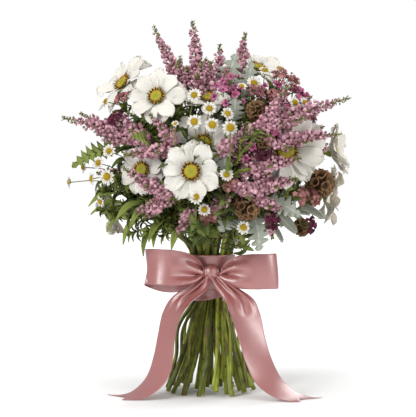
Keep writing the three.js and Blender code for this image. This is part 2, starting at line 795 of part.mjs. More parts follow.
// The nearest points of two rods, as their shares along each.
function nearest(p, q, onP, onQ) {
  const along = p.to.at.clone().sub(p.from.at);
  const other = q.to.at.clone().sub(q.from.at);
  const between = p.from.at.clone().sub(q.from.at);
  const [a, e, f] = [Math.max(along.lengthSq(), 1e-9), Math.max(other.lengthSq(), 1e-9), other.dot(between)];
  const [b, c] = [along.dot(other), along.dot(between)];
  const spread = a * e - b * b;
  const clamp = (x) => Math.min(1, Math.max(0, x));
  let s = spread > 1e-9 ? clamp((b * f - c * e) / spread) : 0.5;
  let t = (b * s + f) / e;
  if (t < 0 || t > 1) {
    t = clamp(t);
    s = clamp((b * t - c) / a);
  }
  onP.copy(p.from.at).addScaledVector(along, s);
  onQ.copy(q.from.at).addScaledVector(other, t);
  return [s, t];
}

const mainStem = ({ stem, fork }, thick) => solidOf(
  tube([...stem, fork].map(({ at }) => at), [...stem.map(() => STEM_RADIUS), thick], STEM_SIDES),
);
const pathOf = ({ points }) => points.map(({ at }) => at);
const radiiOf = ({ radius }) => [1.2 * radius, radius, radius, radius];

const stemSolids = (plant, thick) => [
  mainStem(plant, thick),
  ...plant.branches.map((branch) => solidOf(
    tube(pathOf(branch), radiiOf(branch), branch.radius > 1 ? BRANCH_SIDES : STALK_SIDES),
  )),
];

// Nodes. A node's firm part holds its place. Its blades turn on their roots to stand clear of other nodes, and are
// cut back where they still meet one.

const DAISY_LEAF = [32, 19]; // length and width of the leaf on each daisy's branch
const LEAF_ROOT = 1.5; // how far a leaf is sunk into its branch
const nodes = [];
const builders = [];

function addNode(name, colour, firm, blades = []) {
  nodes.push({ name, colour, firm, guards: firm.map((solid) => grown(solid, GAP)), blades });
}

for (const [spray, { slot, blooms }] of Object.entries(daisySprays)) {
  const name = `daisy_stem_${spray}`;
  const ends = blooms.map(({ at, face, radius, petals, cup }) => {
    const frame = bloomFrame(vec(...at), face);
    const inFrame = (x, y, z) => fixedPoint(vec(x, y, z).applyMatrix4(frame));
    addRod(name, inFrame(0, 0, -BLOOM_BACK), inFrame(0, 0, 6), 0.28 * radius);
    for (let i = 0; i < petals; i += 1) {
      const turn = (2 * Math.PI * i) / petals;
      const rib = [0.3, 0.9].map((share) => inFrame(
        share * radius * Math.cos(turn),
        share * radius * Math.sin(turn),
        share * radius * Math.sin(petalLift(i, cup)),
      ));
      addRod(name, ...rib, 0.11 * radius);
    }
    return { at: vec(0, 0, -BLOOM_BACK).applyMatrix4(frame), out: facing(face), radius: 1.4 };
  });
  const plant = branchesOf(name, slot, ends);
  builders.push(() => {
    const cups = blooms.map(({ at, face, radius }) => {
      const profile = [[0, -6.5], [0.2 * radius, -2.6], [0, -1.9]].map(([r, z]) => new THREE.Vector2(r, z));
      return solidOf(new THREE.LatheGeometry(profile, 7).rotateX(Math.PI / 2), bloomFrame(vec(...at), face));
    });
    const leaves = plant.branches.map(({ points }, i) => {
      const [from, to] = [points[1].at, points[2].at];
      const along = to.clone().sub(from).normalize();
      const side = along.clone().cross(vec(0, 0, 1)).normalize().multiplyScalar(i % 2 ? 1 : -1);
      const way = side.addScaledVector(along, 0.7).normalize();
      const up = vec(0, 0, 1).addScaledVector(along, 0.4);
      return leafChoices('lobed', from.clone().lerp(to, 0.5), way, up, ...DAISY_LEAF);
    });
    addNode(name, COLOURS.stem, [...stemSolids(plant, 1.9), ...cups], leaves);
    for (const bloom of blooms) {
      const frame = bloomFrame(vec(...bloom.at), bloom.face);
      addNode(`daisy_disc_${bloom.name}`, COLOURS.disc, [daisyDisc(bloom).transform(frame.elements)]);
      const ring = daisyPetals(bloom);
      const phases = [0, 0.25, -0.25, 0.5].map((phase) => () => ring
        .rotate([0, 0, (360 * phase) / bloom.petals])
        .transform(frame.elements));
      addNode(`daisy_petals_${bloom.name}`, COLOURS.petal, [], [phases]);
    }
  });
}

for (const [spray, { slot, spikes: places }] of Object.entries(heatherSprays)) {
  const name = `heather_${spray}`;
  const stalks = places.map(([base, tip, radius]) => ({ base: vec(...base), tip: vec(...tip), radius }));
  stalks.forEach(({ base, tip, radius }) => addRod(name, fixedPoint(base), fixedPoint(tip), 0.85 * radius));
  const ends = stalks.map(({ base, tip }) => ({ at: base, out: tip.clone().sub(base).normalize(), radius: 1.2 }));
  const plant = branchesOf(name, slot, ends);
  builders.push(() => {
    const spikes = stalks.map(({ base, tip, radius }, i) => {
      const branch = plant.branches[i];
      return onStalk(pathOf(branch), radiiOf(branch), ends[i].out, heatherSpike(base.distanceTo(tip), radius));
    });
    addNode(name, COLOURS.heather, [mainStem(plant, 1.6), ...spikes]);
  });
}

// Where a spray has a rise, its stalks come up from that way, and not from straight behind each flower.
function flowerSpray(name, { slot, rise, flowers }, colour, form) {
  const ends = flowers.map(([x, y, z, radius, azimuth, elevation]) => {
    const face = facing([azimuth, elevation]);
    const at = vec(x, y, z).addScaledVector(face, -form.back);
    addRod(name, fixedPoint(at), fixedPoint(vec(x, y, z).addScaledVector(face, 2)), 0.75 * radius);
    return { at, face, out: rise ? vec(...rise).normalize() : face, radius: 0.8 };
  });
  const plant = branchesOf(name, slot, ends);
  builders.push(() => addNode(name, colour, [mainStem(plant, 1.4), ...ends.map(({ face }, i) => {
    const branch = plant.branches[i];
    return onStalk(pathOf(branch), radiiOf(branch), face, smallFlower({ radius: flowers[i][3], ...form }));
  })]));
}

for (const [name, spray] of Object.entries(chamomileSprays)) {
  flowerSpray(`chamomile_${name}`, spray, COLOURS.chamomile, { petals: 6, dome: 0.36, back: 1.2 });
}
for (const [name, spray] of Object.entries(waxSprays)) {
  flowerSpray(`wax_flower_${name}`, spray, COLOURS.wax, { petals: 5, dome: 0.15, back: 2.4 });
}

for (const [spray, { slot, pods }] of Object.entries(podSprays)) {
  const name = `seed_pods_${spray}`;
  const ends = pods.map(([x, y, z, radius]) => {
    const middle = fixedPoint(vec(x, y, z));
    addRod(name, middle, middle, radius);
    const out = middle.at.clone().sub(vec(0, 0, 190)).normalize();
    return { at: middle.at.clone().addScaledVector(out, -0.6 * radius), out, radius: 1.2 };
  });
  const plant = branchesOf(name, slot, ends);
  builders.push(() => addNode(
    name,
    COLOURS.pod,
    [
      ...stemSolids(plant, 1.6),
      ...pods.map(([x, y, z, radius]) => solidOf(seedPod(radius), new THREE.Matrix4().makeTranslation(x, y, z))),
    ],
  ));
}

for (const [spray, { slot, colour, leaves }] of Object.entries(leafSprays)) {
  const name = `foliage_${spray}`;
  const ends = leaves.map(([, root, tip]) => ({
    at: vec(...root),
    out: vec(...tip).sub(vec(...root)).normalize(),
    radius: 0.9,
  }));
  const plant = branchesOf(name, slot, ends);
  builders.push(() => {
    const blades = leaves.map(([kind, root, tip, width]) => {
      const direction = vec(...tip).sub(vec(...root));
      const from = vec(...root).addScaledVector(direction.clone().normalize(), -LEAF_ROOT);
      const up = vec(root[0], root[1], 40).normalize();
      return leafChoices(kind, from, direction, up, direction.length() + LEAF_ROOT, width);
    });
    addNode(name, colour, stemSolids(plant, 1.5), blades);
  });
}

bendClear();
builders.forEach((build) => build());

// The ribbon

// A strip through sections of [centre, half its width as a vector, the way its thickness goes]. Its far end is
// square, or cut to a V of the given depth.
function strip(sections, cut = 0) {
  const points = [];
  sections.forEach(([centre, across, out], i) => {
    const isEnd = i === sections.length - 1;
    const back = isEnd && cut ? sections[i - 1][0].clone().sub(centre).setLength(cut) : vec(0, 0, 0);
    for (const share of [-1, 0, 1]) {
      for (const side of [-0.5, 0.5]) {
        points.push(centre.clone()
          .addScaledVector(across, share)
          .addScaledVector(out, side * RIBBON_THICKNESS)
          .add(share === 0 ? back : vec(0, 0, 0))
          .toArray());
      }
    }
  });
  // In a section, corners 0, 2, 4 are under and 1, 3, 5 above.
  const outline = [0, 2, 4, 5, 3, 1];
  const faces = [];
  for (let i = 0; i < sections.length - 1; i += 1) {
    for (let k = 0; k < 6; k += 1) {
      const [a, b] = [outline[k] + 6 * i, outline[(k + 1) % 6] + 6 * i];
      faces.push([a, b, b + 6], [a, b + 6, a + 6]);
    }
  }
  const end = 6 * (sections.length - 1);
  faces.push([0, 1, 3], [0, 3, 2], [2, 3, 5], [2, 5, 4]);
  faces.push([end, end + 3, end + 1], [end, end + 2, end + 3]);
  faces.push([end + 2, end + 5, end + 3], [end + 2, end + 4, end + 5]);
  const solid = solidOf(geometryOf(points, faces));
  return solid.volume() > 0 ? solid : solidOf(geometryOf(points, faces.map((face) => [...face].reverse())));
}

// The wrap: two turns of ribbon round the bundle, the upper one lapping over the lower.
function ribbonWrap() {
  const outermost = OUTER_RING * RING_STEP;
  const clear = STEM_RADIUS * 1.08 + 0.6;
  const below = 0.013; // how fast the bundle widens under and over the binding, per mm
  const above = (bundleScale(STEM_TOP) - 1) / (STEM_TOP - BINDING_HEIGHT);
  const inner = (z) => clear + outermost * (z < BINDING_HEIGHT
    ? 1 + below * (BINDING_HEIGHT - z)
    : 1 + above * (z - BINDING_HEIGHT));
  const lap = 122; // where the upper turn ends over the lower one
  const heights = [WRAP_BOTTOM, lap - 1, lap, WRAP_TOP];
  const outside = heights.map((z) => [inner(z) + RIBBON_THICKNESS * (z < lap ? 1.2 : 2), z]);
  const inside = [...heights].reverse().filter((z) => z !== lap).map((z) => [inner(z), z]);
  const profile = [...outside, ...inside, outside[0]].map(([r, z]) => new THREE.Vector2(r, z));
  return solidOf(new THREE.LatheGeometry(profile, 20).rotateX(Math.PI / 2));
}

const KNOT = vec(0, -29.9, 132);
const KNOT_HALF = vec(9.5, 4.6, 8);

// The knot: a squat block with rounded ends and pleats across it, gathered in the middle.
function bowKnot() {
  const columns = 6;
  const around = 10;
  const points = [[-KNOT_HALF.x, 0, 0], [KNOT_HALF.x, 0, 0]];
  for (let i = 0; i < columns; i += 1) {
    const x = -1 + (2 * (i + 0.5)) / columns;
    const round = Math.sqrt(1 - (0.92 * x) ** 2) * (i % 2 ? 0.86 : 1);
    for (let k = 0; k < around; k += 1) {
      const turn = (2 * Math.PI * k) / around;
      points.push([x * KNOT_HALF.x, KNOT_HALF.y * round * Math.cos(turn), KNOT_HALF.z * round * Math.sin(turn)]);
    }
  }
  const faces = [];
  for (let k = 0; k < around; k += 1) {
    const next = (k + 1) % around;
    const last = 2 + (columns - 1) * around;
    faces.push([0, 2 + next, 2 + k], [1, last + k, last + next]);
    for (let i = 0; i < columns - 1; i += 1) {
      const [a, b] = [2 + i * around + k, 2 + i * around + next];
      faces.push([a, b, b + around], [a, b + around, a + around]);
    }
  }
  return solidOf(geometryOf(points, faces), new THREE.Matrix4().setPosition(KNOT));
}

// A loop leaves the knot in front, turns back at its far end and returns behind. Points are [x, y, z, width], the
// width as a share of the ribbon's, which is gathered near the knot.
const LOOP_PATH = [
  [9.9, -31.5, 132, 0.26],
  [17, -36, 134, 0.58],
  [29, -42, 137, 0.84],
  [45, -45, 139, 0.97],
  [60, -42, 139.5, 1],
  [69, -35, 139, 1],
  [70, -27, 138, 1],
  [62, -21, 136.5, 1],
  [46, -20, 135, 0.92],
  [30, -24, 133.5, 0.68],
  [18, -27, 132.5, 0.42],
  [9.9, -28, 132, 0.26],
];

function bowLoop(side) {
  const lift = side < 0 ? 1 : 0.3; // the left loop stands higher than the right
  const centres = LOOP_PATH.map(([x, y, z]) => vec(side * x, y, KNOT.z + (z - KNOT.z) * lift));
  return strip(centres.map((centre, i) => {
    const before = centres[Math.max(i - 1, 0)];
    const after = centres[Math.min(i + 1, centres.length - 1)];
    const along = after.clone().sub(before).normalize();
    const across = vec(0, 0, 1).addScaledVector(along, -along.z).setLength((LOOP_PATH[i][3] * RIBBON_WIDTH) / 2);
    return [centre, across, along.clone().cross(across).normalize()];
  }));
}

// Tail points are [x, y, z, width as a share of the ribbon's, the way it runs in plan, in degrees from +X].
const TAIL_PATHS = {
  left: [
    [-4, -32, 129, 0.26, 0],
    [-15, -38, 117, 0.63, -25],
    [-31, -42, 105, 0.9, -45],
    [-40, -45, 88, 1, -57],
    [-45, -49, 66, 1, -60],
    [-50, -52, 44, 1, -56],
    [-59, -54, 22, 1, -54],
    [-75, -54, 7, 1, -58],
    [-92, -52, 1.2, 1, -62],
    [-103, -50, 1, 1, -62],
  ],
  right: [
    [4, -32, 129, 0.26, 0],
    [16, -38, 118, 0.63, 10],
    [30, -43, 104, 0.9, 24],
    [36, -47, 86, 1, 34],
    [42, -52, 64, 1, 41],
    [51, -56, 41, 1, 41],
    [63, -60, 20, 1, 40],
    [79, -63, 7, 1, 42],
    [95, -65, 1.2, 1, 46],
    [106, -66, 1, 1, 46],
  ],
};
const TAIL_CUT = 12;

function bowTail(path) {
  const centres = path.map(([x, y, z]) => vec(x, y, z));
  return strip(centres.map((centre, i) => {
    const before = centres[Math.max(i - 1, 0)];
    const after = centres[Math.min(i + 1, centres.length - 1)];
    const along = after.clone().sub(before).normalize();
    const plan = radians(path[i][4]);
    const across = vec(Math.cos(plan), Math.sin(plan), 0).setLength((path[i][3] * RIBBON_WIDTH) / 2);
    return [centre, across, along.clone().cross(across).normalize()];
  }), TAIL_CUT);
}

addNode('ribbon_wrap', COLOURS.ribbon, [ribbonWrap()]);
addNode('bow_knot_and_tails', COLOURS.ribbon, [bowKnot(), bowTail(TAIL_PATHS.left), bowTail(TAIL_PATHS.right)]);
addNode('bow_loop_left', COLOURS.ribbon, [bowLoop(-1)]);
addNode('bow_loop_right', COLOURS.ribbon, [bowLoop(1)]);

// Clearance: a later firm part is cut back from an earlier one, and blades from firm parts and earlier blades.

const TOUCH = 1e-6; // an overlap this small, in cubic mm, is none

function meets(a, b) {
  const [p, q] = [a.boundingBox(), b.boundingBox()];
  return [0, 1, 2].every((i) => p.min[i] < q.max[i] && q.min[i] < p.max[i]) ? a.intersect(b).volume() : 0;
}

const cutBack = (solid, others) => others.reduce(
  (left, other) => (meets(left, other) > TOUCH ? left.subtract(other) : left),
  solid,
);

function clearest(choices, others) {
  let best = null;
  for (const choice of choices) {
    const solid = choice();
    const shared = others.reduce((sum, other) => sum + meets(solid, other), 0);
    if (!best || shared < best.shared) best = { solid, shared };
    if (shared < TOUCH) break;
  }
  return best.solid;
}

const firmNodes = nodes.filter(({ firm }) => firm.length);
firmNodes.forEach((node, i) => {
  const guards = firmNodes.slice(0, i).flatMap((other) => other.guards);
  node.solid = largestBody(cutBack(joined(node.firm), guards));
});
const bladeGuards = [];
for (const node of nodes.filter(({ blades }) => blades.length)) {
  const guards = [...firmNodes.filter((other) => other !== node).flatMap((other) => other.guards), ...bladeGuards];
  const blades = node.blades.map((choices) => cutBack(clearest(choices, guards), guards));
  node.solid = largestBody(joined(node.solid ? [node.solid, ...blades] : blades));
  bladeGuards.push(...blades.map((solid) => grown(solid, GAP)));
}

const bouquet = new THREE.Group();
bouquet.name = 'bouquet';
for (const { name, colour, solid } of nodes) {
  const mesh = largestBody(solid.simplify(0.2)).getMesh();
  const geometry = new THREE.BufferGeometry();
  geometry.setAttribute('position', new THREE.BufferAttribute(mesh.vertProperties.slice(), 3));
  geometry.setIndex(new THREE.BufferAttribute(mesh.triVerts.slice(), 1));
  geometry.computeVertexNormals();
  const roughness = colour === COLOURS.ribbon ? 0.4 : 0.8;
  const piece = new THREE.Mesh(geometry, new THREE.MeshStandardMaterial({ color: colour, roughness }));
  piece.name = name;
  bouquet.add(piece);
}

export default bouquet;
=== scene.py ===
"""A hand-tied bouquet of daisies, heather, chamomile, wax flowers, seed pods and leaves, with a satin bow.

Each spray follows the layout tables below, and its stems are bent clear of each other by the same rule as in
the solids, so that the fine pieces lie where the solids do. Sizes in the tables are millimetres, angles are
degrees, and meshes are in metres. The front faces -Y, +Z is up, and the origin is the centre stem's cut end.
"""
import math
from collections import namedtuple
from functools import cache

import bpy
import numpy as np
from mathutils import Matrix, Vector


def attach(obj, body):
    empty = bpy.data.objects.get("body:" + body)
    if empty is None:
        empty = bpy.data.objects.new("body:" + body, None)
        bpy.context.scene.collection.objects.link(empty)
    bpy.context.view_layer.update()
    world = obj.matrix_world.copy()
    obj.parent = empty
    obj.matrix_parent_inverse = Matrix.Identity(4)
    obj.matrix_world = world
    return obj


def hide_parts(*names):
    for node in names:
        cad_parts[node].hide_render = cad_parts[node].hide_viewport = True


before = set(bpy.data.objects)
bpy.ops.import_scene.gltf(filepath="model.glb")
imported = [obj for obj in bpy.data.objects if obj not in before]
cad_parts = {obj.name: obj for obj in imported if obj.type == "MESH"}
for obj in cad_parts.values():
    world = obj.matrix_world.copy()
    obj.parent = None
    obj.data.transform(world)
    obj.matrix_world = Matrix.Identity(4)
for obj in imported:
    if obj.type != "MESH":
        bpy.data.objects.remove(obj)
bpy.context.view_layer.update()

bl_info = {
    "name": "Flower Bouquet",
    "version": (1, 0, 0),
    "blender": (4, 5, 0),
    "location": "View3D > Sidebar > Bouquet",
    "description": "Makes a hand-tied bouquet with a satin bow, and the stage it stands on",
    "category": "Add Mesh",
}

MM = 0.001

# The bundle: rings of stems round a centre stem, narrowest at the binding, that turn a little as they rise
BINDING_HEIGHT = 105
WRAP_BOTTOM = 100
WRAP_TOP = 151
RING_STEP = 5.6
OUTER_RING = 3
FOOT_SPREAD = 2.85
WRAP_SPREAD = 1.3
SPIRAL = 18
STEM_TOP = WRAP_TOP + 6
STEM_HEIGHTS = [0, 50, BINDING_HEIGHT, STEM_TOP]

# How a stem forks into branches, and how these are bent clear of what they would cross, a step in each pass
FORK_SHARE = 0.3
FORK_RADIUS = 2
BRANCHED_SHARE = 0.6
BEND_SHARE = 0.32
TWIG_CLEAR = 0.3
BEND_GAP = 0.7
BEND_PASSES = 60
BEND_RATE = 0.3
BEND_STEP = 2

# How far behind a bloom or head its branch ends, and the radius of each kind's branches
BLOOM_BACK = 3.2
CHAMOMILE_BACK = 1.2
WAX_BACK = 2.4
POD_BACK = 0.6
DAISY_TWIG = 1.4
HEATHER_TWIG = 1.2
FLOWER_TWIG = 0.8
POD_TWIG = 1.2
LEAF_TWIG = 0.9

# The rods that stand for blooms and heads, as shares of their radius
DISC_ROD = 0.28
DISC_ROD_LENGTH = 6
PETAL_ROD = 0.11
PETAL_ROD_SPAN = (0.3, 0.9)
SPIKE_ROD = 0.85
HEAD_ROD = 0.75
HEAD_ROD_LENGTH = 2

# A daisy's petals leave its disc at this share of its radius, raised by turns a little more and a little less
PETAL_ROOT = 0.2
UPPER_LIFT = 7
LOWER_LIFT = -3

# The places that pods, and bunches and tufts, face away from
POD_AIM = np.array([0, 0, 190])
BUNCH_AIM = np.array([0, 0, 200])
GOLDEN = math.pi * (3 - math.sqrt(5))

# What grows on the stems. Each spray has its place in the bundle, as a ring and an azimuth at the binding,
# and the blooms, spikes, pods or leaves that it carries. A bloom faces an azimuth and an elevation.


# A daisy: its name, place, facing and radius, how many petals it has and how far they are raised
Bloom = namedtuple("Bloom", "name at face radius petals cup")
DAISY_SPRAYS = {
    "front": {
        "slot": {"ring": 2, "azimuth": -50},
        "blooms": [
            Bloom("front", [-20, -129, 241], [-6, 6], 34, 9, 12),
            Bloom("front_upper", [-8, -98, 270], [3, 18], 31, 9, 14),
            Bloom("left", [-70, -90, 243], [-30, 6], 31, 9, 8),
        ],
    },
    "upper_left": {
        "slot": {"ring": 1, "azimuth": -60},
        "blooms": [
            Bloom("upper_left", [-55, -102, 317], [-20, 24], 31, 8, 12),
            Bloom("top_left", [-92, -44, 334], [-55, 36], 34, 9, 10),
        ],
    },
    "top": {
        "slot": {"ring": 1, "azimuth": 0},
        "blooms": [
            Bloom("top", [-4, -88, 316], [8, 48], 28, 8, 14),
            Bloom("top_right", [50, -30, 350], [40, 55], 32, 9, 12),
        ],
    },
    "right": {
        "slot": {"ring": 3, "azimuth": 90},
        "blooms": [
            Bloom("right", [76, -92, 264], [10, 4], 47, 10, 6),
            Bloom("right_rear", [130, -24, 262], [76, 14], 33, 8, 30),
            Bloom("right_low", [126, 4, 216], [98, -6], 35, 10, 14),
        ],
    },
    "left_low": {
        "slot": {"ring": 3, "azimuth": -110},
        "blooms": [
            Bloom("left_low", [-108, 12, 200], [-104, -18], 33, 9, 10),
            Bloom("back_left", [-76, 98, 262], [-143, 14], 35, 9, 12),
        ],
    },
    "back": {
        "slot": {"ring": 3, "azimuth": 182},
        "blooms": [
            Bloom("back_top", [18, 88, 320], [170, 40], 34, 9, 12),
            Bloom("back_right", [84, 92, 250], [138, 10], 35, 9, 12),
        ],
    },
}

# Spikes are [base, tip, radius].
HEATHER_SPRAYS = {
    "top": {
        "slot": {"ring": 0, "azimuth": 0},
        "spikes": [
            [[-34, -62, 336], [-62, -40, 398], 9],
            [[-14, -62, 343], [-20, -38, 404], 10],
            [[10, -58, 336], [9, -48, 378], 9],
            [[29, -50, 343], [37, -32, 392], 9],
            [[-14, -82, 330], [-10, -104, 352], 8],
        ],
    },
    "left": {
        "slot": {"ring": 2, "azimuth": -100},
        "spikes": [
            [[-82, -90, 280], [-160, -50, 299], 10],
            [[-50, -117, 262], [-90, -112, 258], 9],
            [[-52, -112, 222], [-92, -106, 246], 9],
            [[-42, -118, 276], [-63, -116, 300], 7],
        ],
    },
    "left_low": {
        "slot": {"ring": 3, "azimuth": -42},
        "spikes": [
            [[-44, -100, 214], [-80, -96, 198], 9],
            [[-22, -92, 200], [-36, -84, 172], 9],
        ],
    },
    "right": {
        "slot": {"ring": 2, "azimuth": 100},
        "spikes": [
            [[60, -118, 290], [146, -72, 319], 11],
            [[66, -119, 274], [134, -96, 280], 9],
            [[50, -121, 246], [92, -117, 255], 9],
        ],
    },
    "right_low": {
        "slot": {"ring": 3, "azimuth": 46},
        "spikes": [
            [[34, -116, 224], [80, -92, 196], 9],
            [[60, -84, 196], [64, -82, 170], 5],
            [[52, -110, 226], [90, -102, 234], 9],
        ],
    },
    "centre": {
        "slot": {"ring": 3, "azimuth": 24},
        "spikes": [
            [[14, -126, 264], [46, -126, 286], 8],
            [[35, -114, 248], [31, -122, 224], 7],
            [[6, -110, 206], [24, -116, 220], 6],
        ],
    },
    "back_right": {
        "slot": {"ring": 3, "azimuth": 158},
        "spikes": [
            [[60, 76, 290], [92, 108, 336], 10],
            [[100, 44, 262], [152, 52, 272], 10],
            [[30, 96, 232], [44, 142, 214], 9],
        ],
    },
    "back_left": {
        "slot": {"ring": 3, "azimuth": -132},
        "spikes": [
            [[-38, 74, 306], [-58, 104, 350], 10],
            [[-100, 44, 284], [-150, 48, 308], 10],
            [[-30, 102, 230], [-40, 146, 212], 9],
        ],
    },
}

# Chamomile heads are [x, y, z, radius, azimuth, elevation].
CHAMOMILE_SPRAYS = {
    "centre": {
        "slot": {"ring": 2, "azimuth": 0},
        "rise": [0, -0.3, 1],
        "flowers": [
            [-17, -120, 318, 9, -5, 20],
            [-2, -128, 304, 9, 5, 20],
            [-17, -133, 291, 9.5, -10, 10],
            [1, -134, 288, 9.5, 0, 10],
            [16, -133, 299, 8.5, 25, 20],
            [19, -137, 285, 10, 10, 8],
            [-36, -129, 289, 5, -10, 30],
        ],
    },
    "left": {
        "slot": {"ring": 3, "azimuth": -86},
        "flowers": [
            [-104, -102, 262, 9, -30, 15],
            [-116, -90, 250, 9, -35, 15],
            [-107, -97, 236, 10, -25, 5],
            [-124, -76, 234, 8.5, -65, 0],
            [-134, -62, 246, 8.5, -80, 10],
            [-150, -50, 230, 8.5, -80, 0],
            [-116, -66, 210, 8, -50, -20],
            [-109, -80, 314, 8, -70, 20],
        ],
    },
    "low": {
        "slot": {"ring": 3, "azimuth": -20},
        "rise": [0, -0.5, 1],
        "flowers": [
            [15, -136, 238, 8.5, 10, 15],
            [-15, -140, 216, 9.5, -5, 10],
            [-7, -126, 203, 8, 0, 0],
            [33, -98, 184, 9, 10, -5],
            [31, -70, 166, 8, 20, -30],
        ],
    },
    "top_right": {
        "slot": {"ring": 1, "azimuth": 60},
        "flowers": [
            [44, -92, 332, 9.5, 10, 20],
            [56, -78, 346, 8.5, 10, 55],
            [72, -60, 349, 8.5, 30, 60],
            [31, -104, 328, 7, 5, 40],
            [86, -94, 312, 8.5, 30, 20],
            [97, -82, 312, 8.5, 50, 15],
        ],
    },
    "back": {
        "slot": {"ring": 3, "azimuth": -154},
        "flowers": [
            [-20, 124, 276, 9.5, 175, 12],
            [-4, 132, 262, 9.5, 180, 10],
            [14, 130, 276, 9, 170, 18],
            [-12, 130, 246, 9, -175, 0],
            [30, 128, 258, 9, 165, 5],
            [-10, 6, 352, 9, 0, 70],
            [16, 24, 350, 9, 60, 75],
        ],
    },
}

# Pods are [x, y, z, radius].
POD_SPRAYS = {
    "front": {
        "slot": {"ring": 3, "azimuth": 2},
        "pods": [[36, -104, 205, 13], [46, -114, 303, 10], [52, -126, 270, 6]],
    },
    "right": {
        "slot": {"ring": 3, "azimuth": 112},
        "pods": [[114, -68, 229, 14], [98, -26, 181, 9], [112, 40, 214, 12]],
    },
}

# Small wax flowers are [x, y, z, radius, azimuth, elevation].
WAX_SPRAYS = {
    "right": {
        "slot": {"ring": 2, "azimuth": 50},
        "flowers": [
            [62, -126, 282, 6, 20, 15],
            [40, -130, 266, 7, 10, 5],
            [76, -102, 306, 6, 30, 15],
            [90, -76, 326, 6, 50, 25],
            [12, -114, 324, 6, 0, 20],
            [24, -116, 319, 6, 10, 20],
            [20, -100, 338, 5.5, 10, 30],
            [68, -86, 330, 7, 30, 30],
        ],
    },
    "back": {
        "slot": {"ring": 2, "azimuth": 150},
        "flowers": [
            [-34, 26, 350, 6, -60, 70],
            [-80, 48, 312, 6, -120, 30],
            [52, 112, 270, 6, 155, 10],
            [-100, -76, 290, 6, -50, 20],
            [34, 40, 346, 6, 140, 60],
            [84, 28, 318, 6, 100, 30],
        ],
    },
}

# Leaves are [kind, root, tip, width].
LEAF_SPRAYS = {
    "silver_right": {
        "slot": {"ring": 3, "azimuth": 68},
        "colour": "silver",
        "leaves": [
            ["lobed", [56, -92, 212], [92, -84, 196], 26],
            ["lobed", [20, -84, 196], [6, -104, 180], 26],
            ["lobed", [44, -72, 196], [52, -70, 160], 28],
            ["lobed", [10, -96, 222], [16, -128, 256], 22],
        ],
    },
    "silver_top": {
        "slot": {"ring": 2, "azimuth": -150},
        "colour": "silver",
        "leaves": [
            ["lobed", [14, -66, 326], [26, -78, 362], 26],
            ["lobed", [34, -70, 322], [44, -72, 356], 24],
            ["lobed", [22, -106, 292], [26, -120, 316], 18],
            ["lobed", [-44, 50, 322], [-66, 76, 346], 28],
            ["lobed", [-2, 86, 292], [-6, 128, 300], 28],
        ],
    },
    "green_left": {
        "slot": {"ring": 3, "azimuth": -64},
        "colour": "leaf",
        "leaves": [
            ["fern", [-96, -66, 266], [-142, -74, 248], 34],
            ["fern", [-60, -96, 268], [-84, -122, 276], 22],
            ["oval", [-60, -36, 180], [-74, -40, 152], 13],
            ["oval", [-90, -44, 196], [-110, -50, 176], 12],
            ["oval", [-74, -50, 192], [-96, -60, 170], 14],
            ["oval", [-72, -72, 208], [-98, -86, 196], 13],
            ["oval", [-62, -76, 204], [-84, -96, 184], 13],
            ["oval", [-46, -66, 190], [-62, -84, 168], 14],
            ["oval", [-100, -58, 218], [-128, -62, 204], 13],
            ["oval", [-52, -52, 184], [-66, -64, 162], 13],
            ["fern", [-12, -60, 192], [-20, -92, 176], 26],
            ["oval", [-84, -24, 196], [-112, -24, 178], 14],
            ["oval", [-30, -60, 184], [-42, -76, 160], 13],
            ["oval", [-96, -8, 206], [-130, -14, 196], 14],
        ],
    },
    "eucalyptus_right": {
        "slot": {"ring": 3, "azimuth": 134},
        "colour": "silver",
        "leaves": [
            ["round", [66, -52, 196], [88, -62, 176], 22],
            ["round", [74, -40, 196], [104, -56, 194], 18],
            ["round", [96, -8, 200], [122, -22, 192], 18],
            ["round", [60, -26, 186], [76, -36, 164], 22],
            ["round", [82, 30, 196], [106, 36, 180], 24],
            ["round", [70, 60, 200], [92, 82, 188], 24],
            ["round", [40, 70, 196], [52, 98, 182], 24],
            ["round", [6, 76, 200], [2, 108, 188], 24],
            ["round", [-34, 70, 200], [-46, 98, 186], 24],
            ["round", [-66, 50, 200], [-90, 66, 186], 24],
        ],
    },
}


# Properties: what a user of the sidebar can change


def length_property(name, description, default, low, high):
    return bpy.props.FloatProperty(
        name=name, description=description, default=default, min=low, max=high, unit="LENGTH")


def colour_property(name, description, default):
    return bpy.props.FloatVectorProperty(
        name=name, description=description, default=default, size=3, min=0.0, max=1.0, subtype="COLOR")


class BouquetSizes(bpy.types.PropertyGroup):
    stem_radius: length_property("Stem radius", "Radius of a main stem in the bundle", 0.0024, 0.001, 0.005)
    petal_thickness: length_property("Petal thickness", "Thickness of a daisy's petal", 0.0004, 0.0002, 0.002)
    ribbon_width: length_property("Ribbon width", "Width that the satin ribbon was cut to", 0.038, 0.01, 0.08)
    ribbon_thickness: length_property("Ribbon thickness", "Thickness of the satin", 0.0004, 0.0001, 0.002)
    floret_size: length_property("Heather floret", "Size of a heather floret", 0.0028, 0.001, 0.004)
    ruffle: bpy.props.FloatProperty(
        name="Ruffle", description="How far a petal waves at its edge, as a share of the bloom's radius",
        default=0.042, min=0.0, max=0.1, subtype="FACTOR")
    seed: bpy.props.IntProperty(
        name="Seed", description="Seed of every random choice", default=7, min=0)


